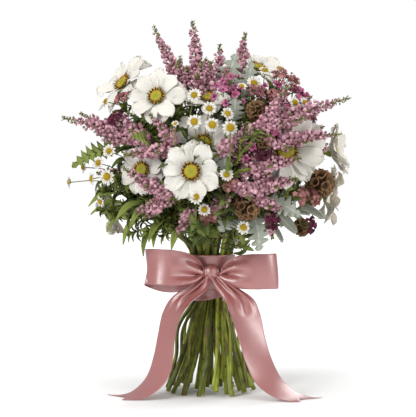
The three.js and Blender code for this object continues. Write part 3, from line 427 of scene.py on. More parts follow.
class BouquetColours(bpy.types.PropertyGroup):
    stem: colour_property("Stem", "Fresh green of the stems", (0.35, 0.41, 0.045))
    stem_dark: colour_property("Stem, dark", "Darker stems and leaf stalks", (0.045, 0.055, 0.010))
    stem_brown: colour_property("Stem, brown", "Woody patches on the stems", (0.13, 0.085, 0.03))
    cut_end: colour_property("Cut end", "Pale pith at the stems' cut ends", (0.42, 0.40, 0.18))
    petal: colour_property("Petal", "Warm white of the daisies", (0.77, 0.735, 0.665))
    petal_root: colour_property("Petal root", "Greenish root of the daisies' petals", (0.50, 0.50, 0.26))
    disc: colour_property("Disc", "Yellow-green florets in the disc's middle", (0.36, 0.37, 0.028))
    disc_rim: colour_property("Disc rim", "Golden florets round the disc", (0.70, 0.42, 0.02))
    disc_spike: colour_property("Disc spikes", "Brown ring round the disc", (0.10, 0.03, 0.006))
    heather_light: colour_property("Heather, light", "Light heather florets", (0.76, 0.45, 0.52))
    heather_tip: colour_property("Heather tip", "Olive buds at the heather's tips", (0.34, 0.28, 0.15))
    # The dark heather colour is the dark end of the bells' random tone, and also painted shade on deep bells
    # and at their roots.
    heather_dark: colour_property("Heather, dark", "Dark heather florets", (0.18, 0.06, 0.076))
    chamomile: colour_property("Chamomile", "Yellow domes of the chamomile", (0.50, 0.34, 0.015))
    wax: colour_property("Wax flower", "Magenta wax flowers", (0.26, 0.03, 0.11))
    wax_light: colour_property("Wax flower, light", "Pink edges of the wax flowers", (0.56, 0.19, 0.32))
    dusky: colour_property("Buds", "Dusty rose-brown of the small buds", (0.45, 0.21, 0.19))
    dusky_dark: colour_property("Buds, dark", "Dark rose-brown of the small buds", (0.14, 0.04, 0.045))
    pod: colour_property("Seed pod", "Brown papery cells", (0.30, 0.17, 0.085))
    # The insides' colour is painted shade: the cells darken toward it at their bottoms, and the pod's core
    # has it.
    pod_dark: colour_property("Seed pod, dark", "Insides of the cells", (0.03, 0.014, 0.006))
    silver: colour_property("Silver leaf", "Downy silver-grey leaves", (0.40, 0.43, 0.36))
    leaf: colour_property("Leaf", "Green leaves", (0.27, 0.33, 0.075))
    leaf_dark: colour_property("Leaf, dark", "Dark green leaves", (0.042, 0.062, 0.016))
    satin: colour_property("Satin", "Dusty-rose satin", (0.36, 0.112, 0.106))


# Frames and paths, in millimetres


def vector(place):
    return np.array(place, float)


def unit(way):
    return way / np.linalg.norm(way)


def facing(azimuth, elevation):
    """The way that an azimuth and an elevation in degrees face. Azimuth 0 is the front."""
    turn, rise = math.radians(azimuth), math.radians(elevation)
    level = math.cos(rise)
    return np.array([math.sin(turn) * level, -math.cos(turn) * level, math.sin(rise)])


def frame_at(along_z, near_x):
    """Axes as the columns of a matrix, with Z along one direction and X as near as can be to another."""
    z = unit(vector(along_z))
    x = vector(near_x)
    x = unit(x - z * x.dot(z))
    return np.column_stack([x, np.cross(z, x), z])


def bloom_frame(bloom):
    """A bloom's place and axes."""
    z = facing(*bloom.face)
    return vector(bloom.at), frame_at(z, (0, 1, 0) if abs(z[2]) > 0.95 else (0, 0, 1))


def petal_lift(i, cup):
    return math.radians(cup + (UPPER_LIFT if i % 2 else LOWER_LIFT))


def side_of(axes, turn):
    """The way that leaves the Z of some axes square to it, at a turn about it."""
    return axes[:, 0] * math.cos(turn) + axes[:, 1] * math.sin(turn)


def about(axes, turn, tilt):
    """Axes whose X leaves the Z of the given ones at a turn about it, raised by a tilt. Their Z faces up."""
    out = side_of(axes, turn)
    x = out * math.cos(tilt) + axes[:, 2] * math.sin(tilt)
    z = axes[:, 2] * math.cos(tilt) - out * math.sin(tilt)
    return np.column_stack([x, np.cross(z, x), z])


def pointing(way, turn=0.0):
    """Axes whose Z points a way, turned about it."""
    way = unit(vector(way))
    side = side_of(frame_at(way, (0, 0, 1) if abs(way[2]) < 0.95 else (0, 1, 0)), turn)
    return np.column_stack([side, np.cross(way, side), way])


def smooth_path(rows, count):
    """Rows of numbers, of which the first three are a place, drawn smoothly through and spaced evenly."""
    rows = vector(rows)
    padded = np.vstack([2 * rows[0] - rows[1], rows, 2 * rows[-1] - rows[-2]])
    lengths = np.concatenate([[0], np.cumsum(np.linalg.norm(np.diff(rows[:, :3], axis=0), axis=1))])
    result = []
    for distance in np.linspace(0, lengths[-1], count):
        i = min(int(np.searchsorted(lengths, distance, side="right")) - 1, len(rows) - 2)
        t = (distance - lengths[i]) / max(lengths[i + 1] - lengths[i], 1e-9)
        a, b, c, d = padded[i:i + 4]
        result.append(0.5 * (2 * b + (c - a) * t + (2 * a - 5 * b + 4 * c - d) * t**2
                             + (3 * b - a - 3 * c + d) * t**3))
    return np.array(result)


# The layout of stems and branches


def bundle_scale(z):
    """How much wider than at its binding the bundle is at a height."""
    if z < BINDING_HEIGHT:
        share, spread = (BINDING_HEIGHT - z) / BINDING_HEIGHT, FOOT_SPREAD
    else:
        share, spread = (z - BINDING_HEIGHT) / (WRAP_TOP - BINDING_HEIGHT), WRAP_SPREAD
    return math.sqrt(1 + share**2 * (spread**2 - 1))


def stem_point(slot, z):
    turn = math.radians(slot["azimuth"] + SPIRAL * (z - BINDING_HEIGHT) / BINDING_HEIGHT)
    out = slot["ring"] * RING_STEP * bundle_scale(z)
    return np.array([out * math.sin(turn), -out * math.cos(turn), z])


class Layout:
    """Every stem and branch, as rods between points, and the rods of the blooms that they bend clear of."""

    def __init__(self):
        self.at, self.fixed, self.forks, self.rods, self.plants = [], [], [], [], {}

    def point(self, at, fixed):
        self.at.append(vector(at))
        self.fixed.append(fixed)
        return len(self.at) - 1

    def rod(self, owner, start, end, radius):
        self.rods.append((owner, start, end, radius))

    def fixed_rod(self, owner, start, end, radius):
        self.rod(owner, self.point(start, True), self.point(end, True), radius)

    def branches(self, name, slot, ends):
        """Adds a plant's stem, its fork and a branch to each end: a place, a way out and a radius."""
        stem = [self.point(stem_point(slot, z), True) for z in STEM_HEIGHTS]
        top = self.at[stem[-1]]
        mean = sum(end[0] for end in ends) / len(ends)
        fork = self.point(top + (mean - top) * FORK_SHARE, False)
        self.rod(name, stem[-1], fork, FORK_RADIUS)
        branches = []
        for i, (at, out, radius) in enumerate(ends):
            share = 1 - BRANCHED_SHARE * i / len(ends)
            root_at = top + (self.at[fork] - top) * share
            root = self.point(root_at, True)
            self.forks.append((root, stem[-1], fork, share))
            bend = at - out * (BEND_SHARE * np.linalg.norm(at - root_at))
            middle = self.point((root_at + bend) / 2, False)
            points = [root, middle, self.point(bend, False), self.point(at, True)]
            for start, end in zip(points, points[1:]):
                self.rod(name, start, end, radius + TWIG_CLEAR)
            branches.append((radius, points))
        self.plants[name] = (stem, fork, branches)

    def bend_clear(self):
        """Pushes the rods' free points apart, a little in each pass, where two plants' rods are too near."""
        at = np.array(self.at)
        fixed = np.array(self.fixed)
        owners = {name: i for i, name in enumerate(dict.fromkeys(rod[0] for rod in self.rods))}
        owner = np.array([owners[rod[0]] for rod in self.rods])
        start = np.array([rod[1] for rod in self.rods])
        end = np.array([rod[2] for rod in self.rods])
        radius = np.array([rod[3] for rod in self.rods], float)
        root, top, fork = (np.array([row[i] for row in self.forks]) for i in range(3))
        share = np.array([row[3] for row in self.forks])[:, None]
        forked = np.zeros(len(at), bool)
        forked[root] = True
        moves = ~fixed[start] | ~fixed[end] | forked[start]
        p, q = np.triu_indices(len(self.rods), 1)
        keep = (owner[p] != owner[q]) & (moves[p] | moves[q])
        p, q = p[keep], q[keep]
        for _ in range(BEND_PASSES):
            s, t, apart = self.nearest(at, start, end, p, q)
            distance = np.linalg.norm(apart, axis=1)
            short = radius[p] + radius[q] + BEND_GAP - distance
            hit = (short > 0) & (distance >= 1e-6)
            s, t, a, b = s[hit][:, None], t[hit][:, None], p[hit], q[hit]
            step = apart[hit] / distance[hit][:, None] * (BEND_RATE * short[hit])[:, None]
            push = np.zeros_like(at)
            np.add.at(push, start[a], step * (1 - s))
            np.add.at(push, end[a], step * s)
            np.add.at(push, start[b], step * (t - 1))
            np.add.at(push, end[b], step * -t)
            np.add.at(push, fork, push[root])
            length = np.linalg.norm(push, axis=1)
            push *= np.minimum(1, BEND_STEP / np.maximum(length, 1e-12))[:, None]
            at[~fixed] += push[~fixed]
            at[root] = at[top] + (at[fork] - at[top]) * share
        self.at = at

    @staticmethod
    def nearest(at, start, end, p, q):
        """For each pair of rods, the shares along them where they are nearest, and the step between."""
        def dot(first, second):
            return np.einsum("ij,ij->i", first, second)

        along, other = at[end[p]] - at[start[p]], at[end[q]] - at[start[q]]
        between = at[start[p]] - at[start[q]]
        a, e = np.maximum(dot(along, along), 1e-9), np.maximum(dot(other, other), 1e-9)
        b, c, f = dot(along, other), dot(along, between), dot(other, between)
        spread = a * e - b * b
        s = np.where(spread > 1e-9, np.clip((b * f - c * e) / np.where(spread > 1e-9, spread, 1), 0, 1), 0.5)
        t = (b * s + f) / e
        outside = (t < 0) | (t > 1)
        t = np.clip(t, 0, 1)
        s = np.where(outside, np.clip((b * t - c) / a, 0, 1), s)
        on_p = at[start[p]] + along * s[:, None]
        on_q = at[start[q]] + other * t[:, None]
        return s, t, on_p - on_q


# Each of these adds the rods of what a spray carries, and gives the ends of its branches.


def daisy_ends(layout, name, row):
    for bloom in row["blooms"]:
        origin, axes = bloom_frame(bloom)
        back = origin + axes @ (0, 0, -BLOOM_BACK)
        layout.fixed_rod(name, back, origin + axes @ (0, 0, DISC_ROD_LENGTH), DISC_ROD * bloom.radius)
        for i in range(bloom.petals):
            turn, lift = 2 * math.pi * i / bloom.petals, petal_lift(i, bloom.cup)
            way = np.array([math.cos(turn), math.sin(turn), math.sin(lift)]) * bloom.radius
            start, end = (origin + axes @ (way * share) for share in PETAL_ROD_SPAN)
            layout.fixed_rod(name, start, end, PETAL_ROD * bloom.radius)
        yield back, facing(*bloom.face), DAISY_TWIG


def heather_ends(layout, name, row):
    for base, tip, radius in row["spikes"]:
        base, tip = vector(base), vector(tip)
        layout.fixed_rod(name, base, tip, SPIKE_ROD * radius)
        yield base, unit(tip - base), HEATHER_TWIG


def flower_places(row, back):
    """The end of each small flower's branch, the way it faces, the way its stalk rises and its radius."""
    rise = row.get("rise")
    for x, y, z, radius, azimuth, elevation in row["flowers"]:
        face = facing(azimuth, elevation)
        at = np.array([x, y, z]) - face * back
        yield at, face, unit(vector(rise)) if rise else face, radius


def flower_ends(back):
    def ends(layout, name, row):
        for at, face, out, radius in flower_places(row, back):
            layout.fixed_rod(name, at, at + face * (back + HEAD_ROD_LENGTH), HEAD_ROD * radius)
            yield at, out, FLOWER_TWIG
    return ends


def pod_ends(layout, name, row):
    for x, y, z, radius in row["pods"]:
        middle = vector((x, y, z))
        at = layout.point(middle, True)
        layout.rod(name, at, at, radius)
        out = unit(middle - POD_AIM)
        yield middle - out * (POD_BACK * radius), out, POD_TWIG


def leaf_ends(_layout, _name, row):
    for _, root, tip, _ in row["leaves"]:
        root, tip = vector(root), vector(tip)
        yield root, unit(tip - root), LEAF_TWIG


@cache
def lay_out():
    """The layout of every spray, in the same order as in the solids, with its branches bent clear."""
    layout = Layout()
    for prefix, sprays, ends_of in (
        ("daisy_stem_", DAISY_SPRAYS, daisy_ends),
        ("heather_", HEATHER_SPRAYS, heather_ends),
        ("chamomile_", CHAMOMILE_SPRAYS, flower_ends(CHAMOMILE_BACK)),
        ("wax_flower_", WAX_SPRAYS, flower_ends(WAX_BACK)),
        ("seed_pods_", POD_SPRAYS, pod_ends),
        ("foliage_", LEAF_SPRAYS, leaf_ends),
    ):
        for spray, row in sprays.items():
            name = prefix + spray
            layout.branches(name, row["slot"], list(ends_of(layout, name, row)))
    layout.bend_clear()
    return layout


# Meshes


def link(name, mesh):
    shown = bpy.data.objects.new(name, mesh)
    bpy.context.scene.collection.objects.link(shown)
    return shown


def float_attribute(mesh, name, values, vectors=False):
    attribute = mesh.attributes.new(name, "FLOAT_VECTOR" if vectors else "FLOAT", "POINT")
    attribute.data.foreach_set("vector" if vectors else "value", np.asarray(values, np.float32).ravel())


def mesh_of(name, points, faces, uvs=None, material=None, smooth=True, shade=None):
    """A mesh from points in metres, faces and, for each face's corner, its place on the map."""
    mesh = bpy.data.meshes.new(name)
    mesh.from_pydata([tuple(point) for point in points], [], faces)
    if uvs is not None:
        layer = mesh.uv_layers.new(name="UVMap")
        layer.data.foreach_set("uv", np.asarray(uvs, np.float32).ravel())
    if shade is not None:
        float_attribute(mesh, "shade", shade)
    mesh.polygons.foreach_set("use_smooth", np.array(np.broadcast_to(smooth, len(faces))))
    if material:
        mesh.materials.append(material)
    mesh.update()
    return mesh


def blade_faces(rows, columns):
    """Faces and map of a closed blade: a grid of points above, the same below, and the rim between them."""
    index = np.arange(rows * columns).reshape(rows, columns)
    below = index + rows * columns
    faces, uvs = [], []

    def spot(i, j):
        return j / (columns - 1), i / (rows - 1)

    for i in range(rows - 1):
        for j in range(columns - 1):
            corners = [(i, j), (i, j + 1), (i + 1, j + 1), (i + 1, j)]
            faces.append([int(index[c]) for c in corners])
            uvs += [spot(*c) for c in corners]
            faces.append([int(below[c]) for c in reversed(corners)])
            uvs += [spot(*c) for c in reversed(corners)]
    rim = [(0, j) for j in range(columns)] + [(i, columns - 1) for i in range(1, rows)]
    rim += [(rows - 1, j) for j in range(columns - 2, -1, -1)] + [(i, 0) for i in range(rows - 2, 0, -1)]
    for a, b in zip(rim, rim[1:] + rim[:1]):
        faces.append([int(index[b]), int(index[a]), int(below[a]), int(below[b])])
        uvs += [spot(*b), spot(*a), spot(*a), spot(*b)]
    return faces, uvs


def blade_smooth(rows, columns):
    """Whether each face of a blade is shaded smooth: those above and below are, and the rim's aren't."""
    return [True] * (2 * (rows - 1) * (columns - 1)) + [False] * (2 * (rows + columns - 2))


def blade_points(grid, thickness):
    """The points of a closed blade from a grid of places, whose rows run along it and whose columns run to
    its right as seen from above with the rows running up."""
    normal = np.cross(np.gradient(grid, axis=1), np.gradient(grid, axis=0))
    normal /= np.maximum(np.linalg.norm(normal, axis=2, keepdims=True), 1e-12)
    half = normal * (thickness / 2)
    return np.concatenate([(grid + half).reshape(-1, 3), (grid - half).reshape(-1, 3)])


def blade(name, rows, columns, cup, thickness, half_width, rise, teeth=None):
    """A leaf of unit length along +X and unit width, with its upper face to +Z. half_width and rise are
    functions of how far along it a spot is, and teeth, of how far across too, moves its edge along it."""
    t = np.linspace(0, 1, rows)[:, None]
    s = np.linspace(-1, 1, columns)[None, :]
    width = half_width(t)
    grid = np.empty((rows, columns, 3))
    grid[..., 0] = np.broadcast_to(t + (teeth(t, s) if teeth else 0), (rows, columns))
    grid[..., 1] = -width * s
    grid[..., 2] = rise(t) + cup * np.abs(s) ** 1.3 * width
    faces, uvs = blade_faces(rows, columns)
    return mesh_of(name, blade_points(grid, thickness), faces, uvs, smooth=blade_smooth(rows, columns))


def lathe(profile, sides):
    """Points and faces of a turned form about Z. A ring of the profile is (radius, height), or (radius,
    height, waves, depth) where its radius waves. A first or last radius of 0 is a pole."""
    points, rings, faces = [], [], []
    for radius, height, *waved in profile:
        if radius == 0:
            rings.append([len(points)])
            points.append((0, 0, height))
            continue
        waves, depth = waved or (0, 0)
        ring = []
        for k in range(sides):
            turn = 2 * math.pi * k / sides
            reach = radius * (1 + depth * math.cos(waves * turn))
            ring.append(len(points))
            points.append((reach * math.cos(turn), reach * math.sin(turn), height))
        rings.append(ring)
    for a, b in zip(rings, rings[1:]):
        for k in range(sides):
            n = (k + 1) % sides
            if len(a) == 1:
                faces.append((a[0], b[n], b[k]))
            elif len(b) == 1:
                faces.append((a[k], a[n], b[0]))
            else:
                faces.append((a[k], a[n], b[n], b[k]))
    return points, faces


def turned(name, sides, profile):
    """A turned form whose map runs round it and up it."""
    points, faces = lathe(profile, sides)
    heights = [point[2] for point in points]
    low, tall = min(heights), max(max(heights) - min(heights), 1e-9)
    uvs = []
    for face in faces:
        for corner in face:
            x, y, z = points[corner]
            uvs.append((math.atan2(y, x) / (2 * math.pi) + 0.5, (z - low) / tall))
    return mesh_of(name, points, faces, uvs)


def read(data, field, width, kind):
    """A field of all of a mesh's points, corners or faces, as an array."""
    values = np.empty(len(data) * width, kind)
    data.foreach_get(field, values)
    return values.reshape(-1, width) if width > 1 else values


def joined(name, meshes):
    """One mesh from several, with their materials, maps and shades."""
    points, corners, starts, totals, slots, uvs, shades, smooth = [], [], [], [], [], [], [], []
    materials, point_count, corner_count = [], 0, 0
    for mesh in meshes:
        if not len(mesh.polygons):
            continue
        points.append(read(mesh.vertices, "co", 3, np.float32))
        corners.append(read(mesh.loops, "vertex_index", 1, np.int32) + point_count)
        starts.append(read(mesh.polygons, "loop_start", 1, np.int32) + corner_count)
        totals.append(read(mesh.polygons, "loop_total", 1, np.int32))
        smooth.append(read(mesh.polygons, "use_smooth", 1, bool))
        for material in mesh.materials:
            if material not in materials:
                materials.append(material)
        table = np.array([materials.index(material) for material in mesh.materials] or [0])
        slots.append(table[np.clip(read(mesh.polygons, "material_index", 1, np.int32), 0, len(table) - 1)])
        layer, shade = mesh.uv_layers.get("UVMap"), mesh.attributes.get("shade")
        uvs.append(read(layer.data, "uv", 2, np.float32) if layer
                   else np.full((len(mesh.loops), 2), 0.5, np.float32))
        shades.append(read(shade.data, "value", 1, np.float32) if shade
                      else np.full(len(mesh.vertices), 0.5, np.float32))
        point_count += len(mesh.vertices)
        corner_count += len(mesh.loops)
    whole = bpy.data.meshes.new(name)
    whole.vertices.add(point_count)
    whole.vertices.foreach_set("co", np.concatenate(points).ravel())
    whole.loops.add(corner_count)
    whole.loops.foreach_set("vertex_index", np.concatenate(corners))
    whole.polygons.add(sum(len(row) for row in starts))
    for material in materials:
        whole.materials.append(material)
    for field, values in (("loop_start", starts), ("loop_total", totals), ("use_smooth", smooth)):
        whole.polygons.foreach_set(field, np.concatenate(values))
    whole.polygons.foreach_set("material_index", np.concatenate(slots).astype(np.int32))
    whole.uv_layers.new(name="UVMap").data.foreach_set("uv", np.concatenate(uvs).ravel())
    float_attribute(whole, "shade", np.concatenate(shades))
    whole.update(calc_edges=True)
    whole.validate()
    return whole


def add_piece(name, meshes, nodes, slot):
    """The piece that stands for these solids: the meshes joined into one, with the solids hidden."""
    mesh = joined(name, meshes)
    if not len(mesh.polygons):
        raise RuntimeError(f"{name} has no faces")
    for part in meshes:
        if part.users == 0:
            bpy.data.meshes.remove(part)
    shown = link(name, mesh)
    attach(shown, "root")
    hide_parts(*nodes)
    return shown


# Node trees, for shapes and for materials


def feed(tree, node, inputs):
    """Gives inputs of a node, by name or number, a plain value, a socket or another node's first output."""
    for name, value in inputs.items():
        if isinstance(value, bpy.types.Node):
            value = value.outputs[0]
        if isinstance(value, bpy.types.NodeSocket):
            tree.links.new(value, node.inputs[name])
        else:
            node.inputs[name].default_value = value


def add_node(tree, kind, inputs=None, **settings):
    """A new node with these settings and inputs."""
    node = tree.nodes.new(kind)
    for name, value in settings.items():
        setattr(node, name, value)
    feed(tree, node, inputs or {})
    return node


def maths(tree, operation, *values):
    return add_node(tree, "ShaderNodeMath", dict(enumerate(values)), operation=operation)


def node_group(name, kind, inputs, outputs):
    """A node group with these sockets, and what comes in through them, or None if it is there already."""
    group = bpy.data.node_groups.get(name)
    if group:
        return group, None
    group = bpy.data.node_groups.new(name, kind)
    for label, form, default in inputs:
        socket = group.interface.new_socket(label, in_out="INPUT", socket_type="NodeSocket" + form)
        if default is not None:
            socket.default_value = default
    for label, form in outputs:
        group.interface.new_socket(label, in_out="OUTPUT", socket_type="NodeSocket" + form)
    return group, add_node(group, "NodeGroupInput").outputs


def shape_tree(name, inputs):
    """A Geometry Nodes tree with these inputs after its geometry's own, and a material."""
    tree, given = node_group(name, "GeometryNodeTree", [
        ("Geometry", "Geometry", None), *inputs, ("Material", "Material", None)], [("Geometry", "Geometry")])
    tree.is_modifier = True
    return tree, given


def end_tree(tree, given, shape):
    """Makes what a tree has placed real, and gives it its material."""
    real = add_node(tree, "GeometryNodeRealizeInstances", {"Geometry": shape})
    painted = add_node(tree, "GeometryNodeSetMaterial", {"Geometry": real, "Material": given["Material"]})
    add_node(tree, "NodeGroupOutput", {"Geometry": painted})


def named(tree, name, kind="FLOAT"):
    return add_node(tree, "GeometryNodeInputNamedAttribute", {"Name": name}, data_type=kind)


def stalks_tree():
    """Tapering tubes along lines, whose points hold how thick they are there and each line's shade."""
    tree, given = shape_tree("Bouquet stalks", [("Sides", "Int", 8), ("Steps", "Int", 16)])
    if given:
        curve = add_node(tree, "GeometryNodeMeshToCurve", {"Mesh": given["Geometry"]})
        curve = add_node(tree, "GeometryNodeCurveSplineType", {"Curve": curve}, spline_type="CATMULL_ROM")
        curve = add_node(tree, "GeometryNodeSetCurveRadius", {"Curve": curve, "Radius": named(tree, "thick")})
        curve = add_node(tree, "GeometryNodeResampleCurve", {"Curve": curve, "Count": given["Steps"]})
        circle = add_node(tree, "GeometryNodeCurvePrimitiveCircle", {
            "Resolution": given["Sides"], "Radius": 1.0})
        tube = add_node(tree, "GeometryNodeCurveToMesh", {
            "Curve": curve, "Profile Curve": circle, "Fill Caps": True,
            "Scale": add_node(tree, "GeometryNodeInputRadius")})
        end_tree(tree, given, add_node(tree, "GeometryNodeSetShadeSmooth", {"Geometry": tube}))
    return tree


def copies_tree():
    """Copies of a shape on points, which hold each copy's turn, size and shade. The seed varies them."""
    tree, given = shape_tree("Bouquet copies", [
        ("Shape", "Object", None), ("Seed", "Int", 7), ("Turn jitter", "Float", 0.1),
        ("Size jitter", "Float", 0.1)])

    def either_side(label, offset):
        """A random value either side of 0, as far as the named input says."""
        low = maths(tree, "MULTIPLY", given[label], -1.0)
        seed = maths(tree, "ADD", given["Seed"], offset)
        value = add_node(tree, "FunctionNodeRandomValue", {2: low, 3: given[label], "Seed": seed},
                         data_type="FLOAT")
        return value.outputs[1]

    if given:
        shape = add_node(tree, "GeometryNodeObjectInfo", {"Object": given["Shape"]})
        copies = add_node(tree, "GeometryNodeInstanceOnPoints", {
            "Points": given["Geometry"], "Instance": shape.outputs["Geometry"],
            "Rotation": named(tree, "turn", "FLOAT_VECTOR"), "Scale": named(tree, "size", "FLOAT_VECTOR")})
        angles = add_node(tree, "ShaderNodeCombineXYZ", {
            axis: either_side("Turn jitter", offset) for axis, offset in zip("XYZ", (1, 2, 3))})
        copies = add_node(tree, "GeometryNodeRotateInstances", {"Instances": copies, "Rotation": angles})
        growth = maths(tree, "ADD", either_side("Size jitter", 4), 1.0)
        sizes = add_node(tree, "ShaderNodeCombineXYZ", dict.fromkeys("XYZ", growth))
        copies = add_node(tree, "GeometryNodeScaleInstances", {"Instances": copies, "Scale": sizes})
        end_tree(tree, given, copies)
    return tree


def evaluated(base, tree, values):
    """The plain mesh that the tree makes of an object, which is then removed."""
    modifier = base.modifiers.new(tree.name, "NODES")
    modifier.node_group = tree
    for item in tree.interface.items_tree:
        if item.item_type == "SOCKET" and item.in_out == "INPUT" and item.name in values:
            modifier[item.identifier] = values[item.name]
    graph = bpy.context.evaluated_depsgraph_get()
    graph.update()
    mesh = bpy.data.meshes.new_from_object(
        base.evaluated_get(graph), preserve_all_data_layers=True, depsgraph=graph)
    base.modifiers.remove(modifier)
    plain = base.data
    bpy.data.objects.remove(base)
    bpy.data.meshes.remove(plain)
    return mesh


# Lines that are at least this thick somewhere, in mm, have more sides and steps than the others.
STOUT = 1.45
STOUT_TUBE = {"Sides": 8, "Steps": 18}
THIN_TUBE = {"Sides": 5, "Steps": 8}


def stalks(lines, material):
    """Tubes along lines of (points in mm, radii in mm, shade)."""
    stout = [line for line in lines if max(line[1]) >= STOUT]
    thin = [line for line in lines if max(line[1]) < STOUT]
    meshes = [tubes(rows, material, form) for rows, form in ((stout, STOUT_TUBE), (thin, THIN_TUBE)) if rows]
    whole = joined("stalks", meshes)
    for mesh in meshes:
        bpy.data.meshes.remove(mesh)
    return whole


def tubes(lines, material, form):
    points, edges, thick, shade = [], [], [], []
    for path, radii, tone in lines:
        start = len(points)
        points += [tuple(np.asarray(point) * MM) for point in path]
        edges += [(start + k, start + k + 1) for k in range(len(path) - 1)]
        thick += [radius * MM for radius in radii]
        shade += [tone] * len(path)
    mesh = bpy.data.meshes.new("lines")
    mesh.from_pydata(points, edges, [])
    float_attribute(mesh, "thick", thick)
    float_attribute(mesh, "shade", shade)
    grown = evaluated(link("lines", mesh), stalks_tree(), {"Material": material, **form})
    places = read(grown.vertices, "co", 3, np.float32)
    places[:, 2] = np.maximum(places[:, 2], 0)
    grown.vertices.foreach_set("co", places.ravel())
    return grown


class Copies:
    """Places for copies of a shape: where, on which axes, how large and how dark."""

    def __init__(self):
        self.rows = []

    def add(self, at, axes, size, shade=0.5):
        """at and size are in mm; a size is one number or three; axes are the copy's X, Y and Z as columns."""
        turn = Matrix([[float(x) for x in row] for row in axes]).to_euler("XYZ")
        self.rows.append((vector(at), tuple(turn), np.broadcast_to(vector(size), 3), shade))

    def mesh(self, shape, material, seed, turn_jitter=0.1, size_jitter=0.1):
        """The mesh of all the copies of a named shape."""
        base = bpy.data.meshes.new("points")
        base.from_pydata([tuple(row[0] * MM) for row in self.rows], [], [])
        float_attribute(base, "turn", [row[1] for row in self.rows], vectors=True)
        float_attribute(base, "size", [row[2] * MM for row in self.rows], vectors=True)
        float_attribute(base, "shade", [row[3] for row in self.rows])
        template = link("shape", unit_shape(shape))
        grown = evaluated(link("points", base), copies_tree(), {
            "Shape": template, "Seed": seed, "Turn jitter": turn_jitter, "Size jitter": size_jitter,
            "Material": material})
        bpy.data.objects.remove(template)
        return grown


# Materials


# The names of the fine pieces' materials begin with this, because the solids have ones named for their slots.
FINE = "fine "
# How matt or shiny the main surfaces are
PLANT_SPECULAR = 0.15
STEM_ROUGHNESS = 0.42
STEM_SPECULAR = 0.35
DISC_ROUGHNESS = 0.7
SATIN_ROUGHNESS = 0.34
SATIN_IOR = 1.75
SATIN_SPECULAR = 0.9
# Depths of relief in a surface, in metres
FIBRE_DEPTH = 0.0002
WEAVE_DEPTH = 0.00007
# How far above the floor a stem's cut end is pale, in metres
CUT_HEIGHT = 0.0012
# How far light spreads inside a petal, in metres for red, green and blue, and the share of it that does
PETAL_SPREAD = (0.004, 0.003, 0.002)
SPREAD_SCALE = 0.4


def solid(colour):
    return (*colour, 1.0)


def dimmed(colour, share):
    return [share * x for x in colour]


def mix_colour(tree, factor, first, second):
    return add_node(tree, "ShaderNodeMix", {0: factor, 6: first, 7: second}, data_type="RGBA").outputs[2]


def eased(tree, value, low, high, top=1.0):
    """0 below one value, a top share above another, and a smooth step between them."""
    return add_node(tree, "ShaderNodeMapRange", {
        "Value": value, "From Min": low, "From Max": high, "To Max": top}, interpolation_type="SMOOTHSTEP")


def drawn_out_noise(tree, place, stretch, scale):
    """Noise that is longer where its stretch is smaller."""
    drawn = add_node(tree, "ShaderNodeMapping", {"Vector": place, "Scale": stretch})
    return add_node(tree, "ShaderNodeTexNoise", {"Vector": drawn, "Scale": scale})


def bump(tree, height, depth):
    return add_node(tree, "ShaderNodeBump", {"Height": height, "Distance": depth})


def tone_group():
    """How light a spot is, from its copy's shade and a fine grain."""
    group, given = node_group(
        "Bouquet tone", "ShaderNodeTree", [("Grain scale", "Float", 300.0), ("Grain", "Float", 0.3)],
        [("Tone", "Float"), ("Grain", "Float")])
    if given:
        shade = add_node(group, "ShaderNodeAttribute", attribute_name="shade")
        place = add_node(group, "ShaderNodeTexCoord").outputs["Object"]
        noise = add_node(group, "ShaderNodeTexNoise", {
            "Vector": place, "Scale": given["Grain scale"], "Detail": 3.0})
        spread = maths(group, "MULTIPLY", maths(group, "SUBTRACT", noise, 0.5), given["Grain"])
        tone = maths(group, "ADD", shade.outputs["Fac"], maths(group, "MULTIPLY", spread, 2.0))
        tone = maths(group, "MAXIMUM", maths(group, "MINIMUM", tone, 1.0), 0.0)
        add_node(group, "NodeGroupOutput", {"Tone": tone, "Grain": noise})
    return group


def veins_group():
    """Lines along a blade's map, 1 on a line and 0 between two, how far along a spot is, and the rib."""
    group, given = node_group(
        "Bouquet veins", "ShaderNodeTree", [("Count", "Float", 12.0), ("Slant", "Float", 0.0)],
        [("Line", "Float"), ("Along", "Float"), ("Rib", "Float")])
    if given:
        spot = add_node(group, "ShaderNodeUVMap", uv_map="UVMap")
        split = add_node(group, "ShaderNodeSeparateXYZ", {"Vector": spot})
        off = maths(group, "ABSOLUTE", maths(group, "SUBTRACT", split.outputs["X"], 0.5))
        slanted = maths(group, "MULTIPLY", split.outputs["Y"], given["Slant"])
        turns = maths(group, "MULTIPLY", maths(group, "SUBTRACT", off, slanted), given["Count"])
        wave = maths(group, "ABSOLUTE", maths(group, "SINE", maths(group, "MULTIPLY", turns, math.pi)))
        line = maths(group, "SUBTRACT", 1.0, maths(group, "POWER", wave, 0.5))
        rib = maths(group, "SUBTRACT", 1.0, maths(group, "MULTIPLY", off, 16.0))
        add_node(group, "NodeGroupOutput", {
            "Line": line, "Along": split.outputs["Y"], "Rib": maths(group, "MAXIMUM", rib, 0.0)})
    return group


def bare_material(name):
    """A material, and its tree and Principled shader, or None for both if it is there already."""
    material = bpy.data.materials.get(name)
    if material:
        return material, None, None
    material = bpy.data.materials.new(name)
    material.use_nodes = True
    tree = material.node_tree
    tree.nodes.clear()
    shader = add_node(tree, "ShaderNodeBsdfPrincipled")
    add_node(tree, "ShaderNodeOutputMaterial", {"Surface": shader})
    return material, tree, shader


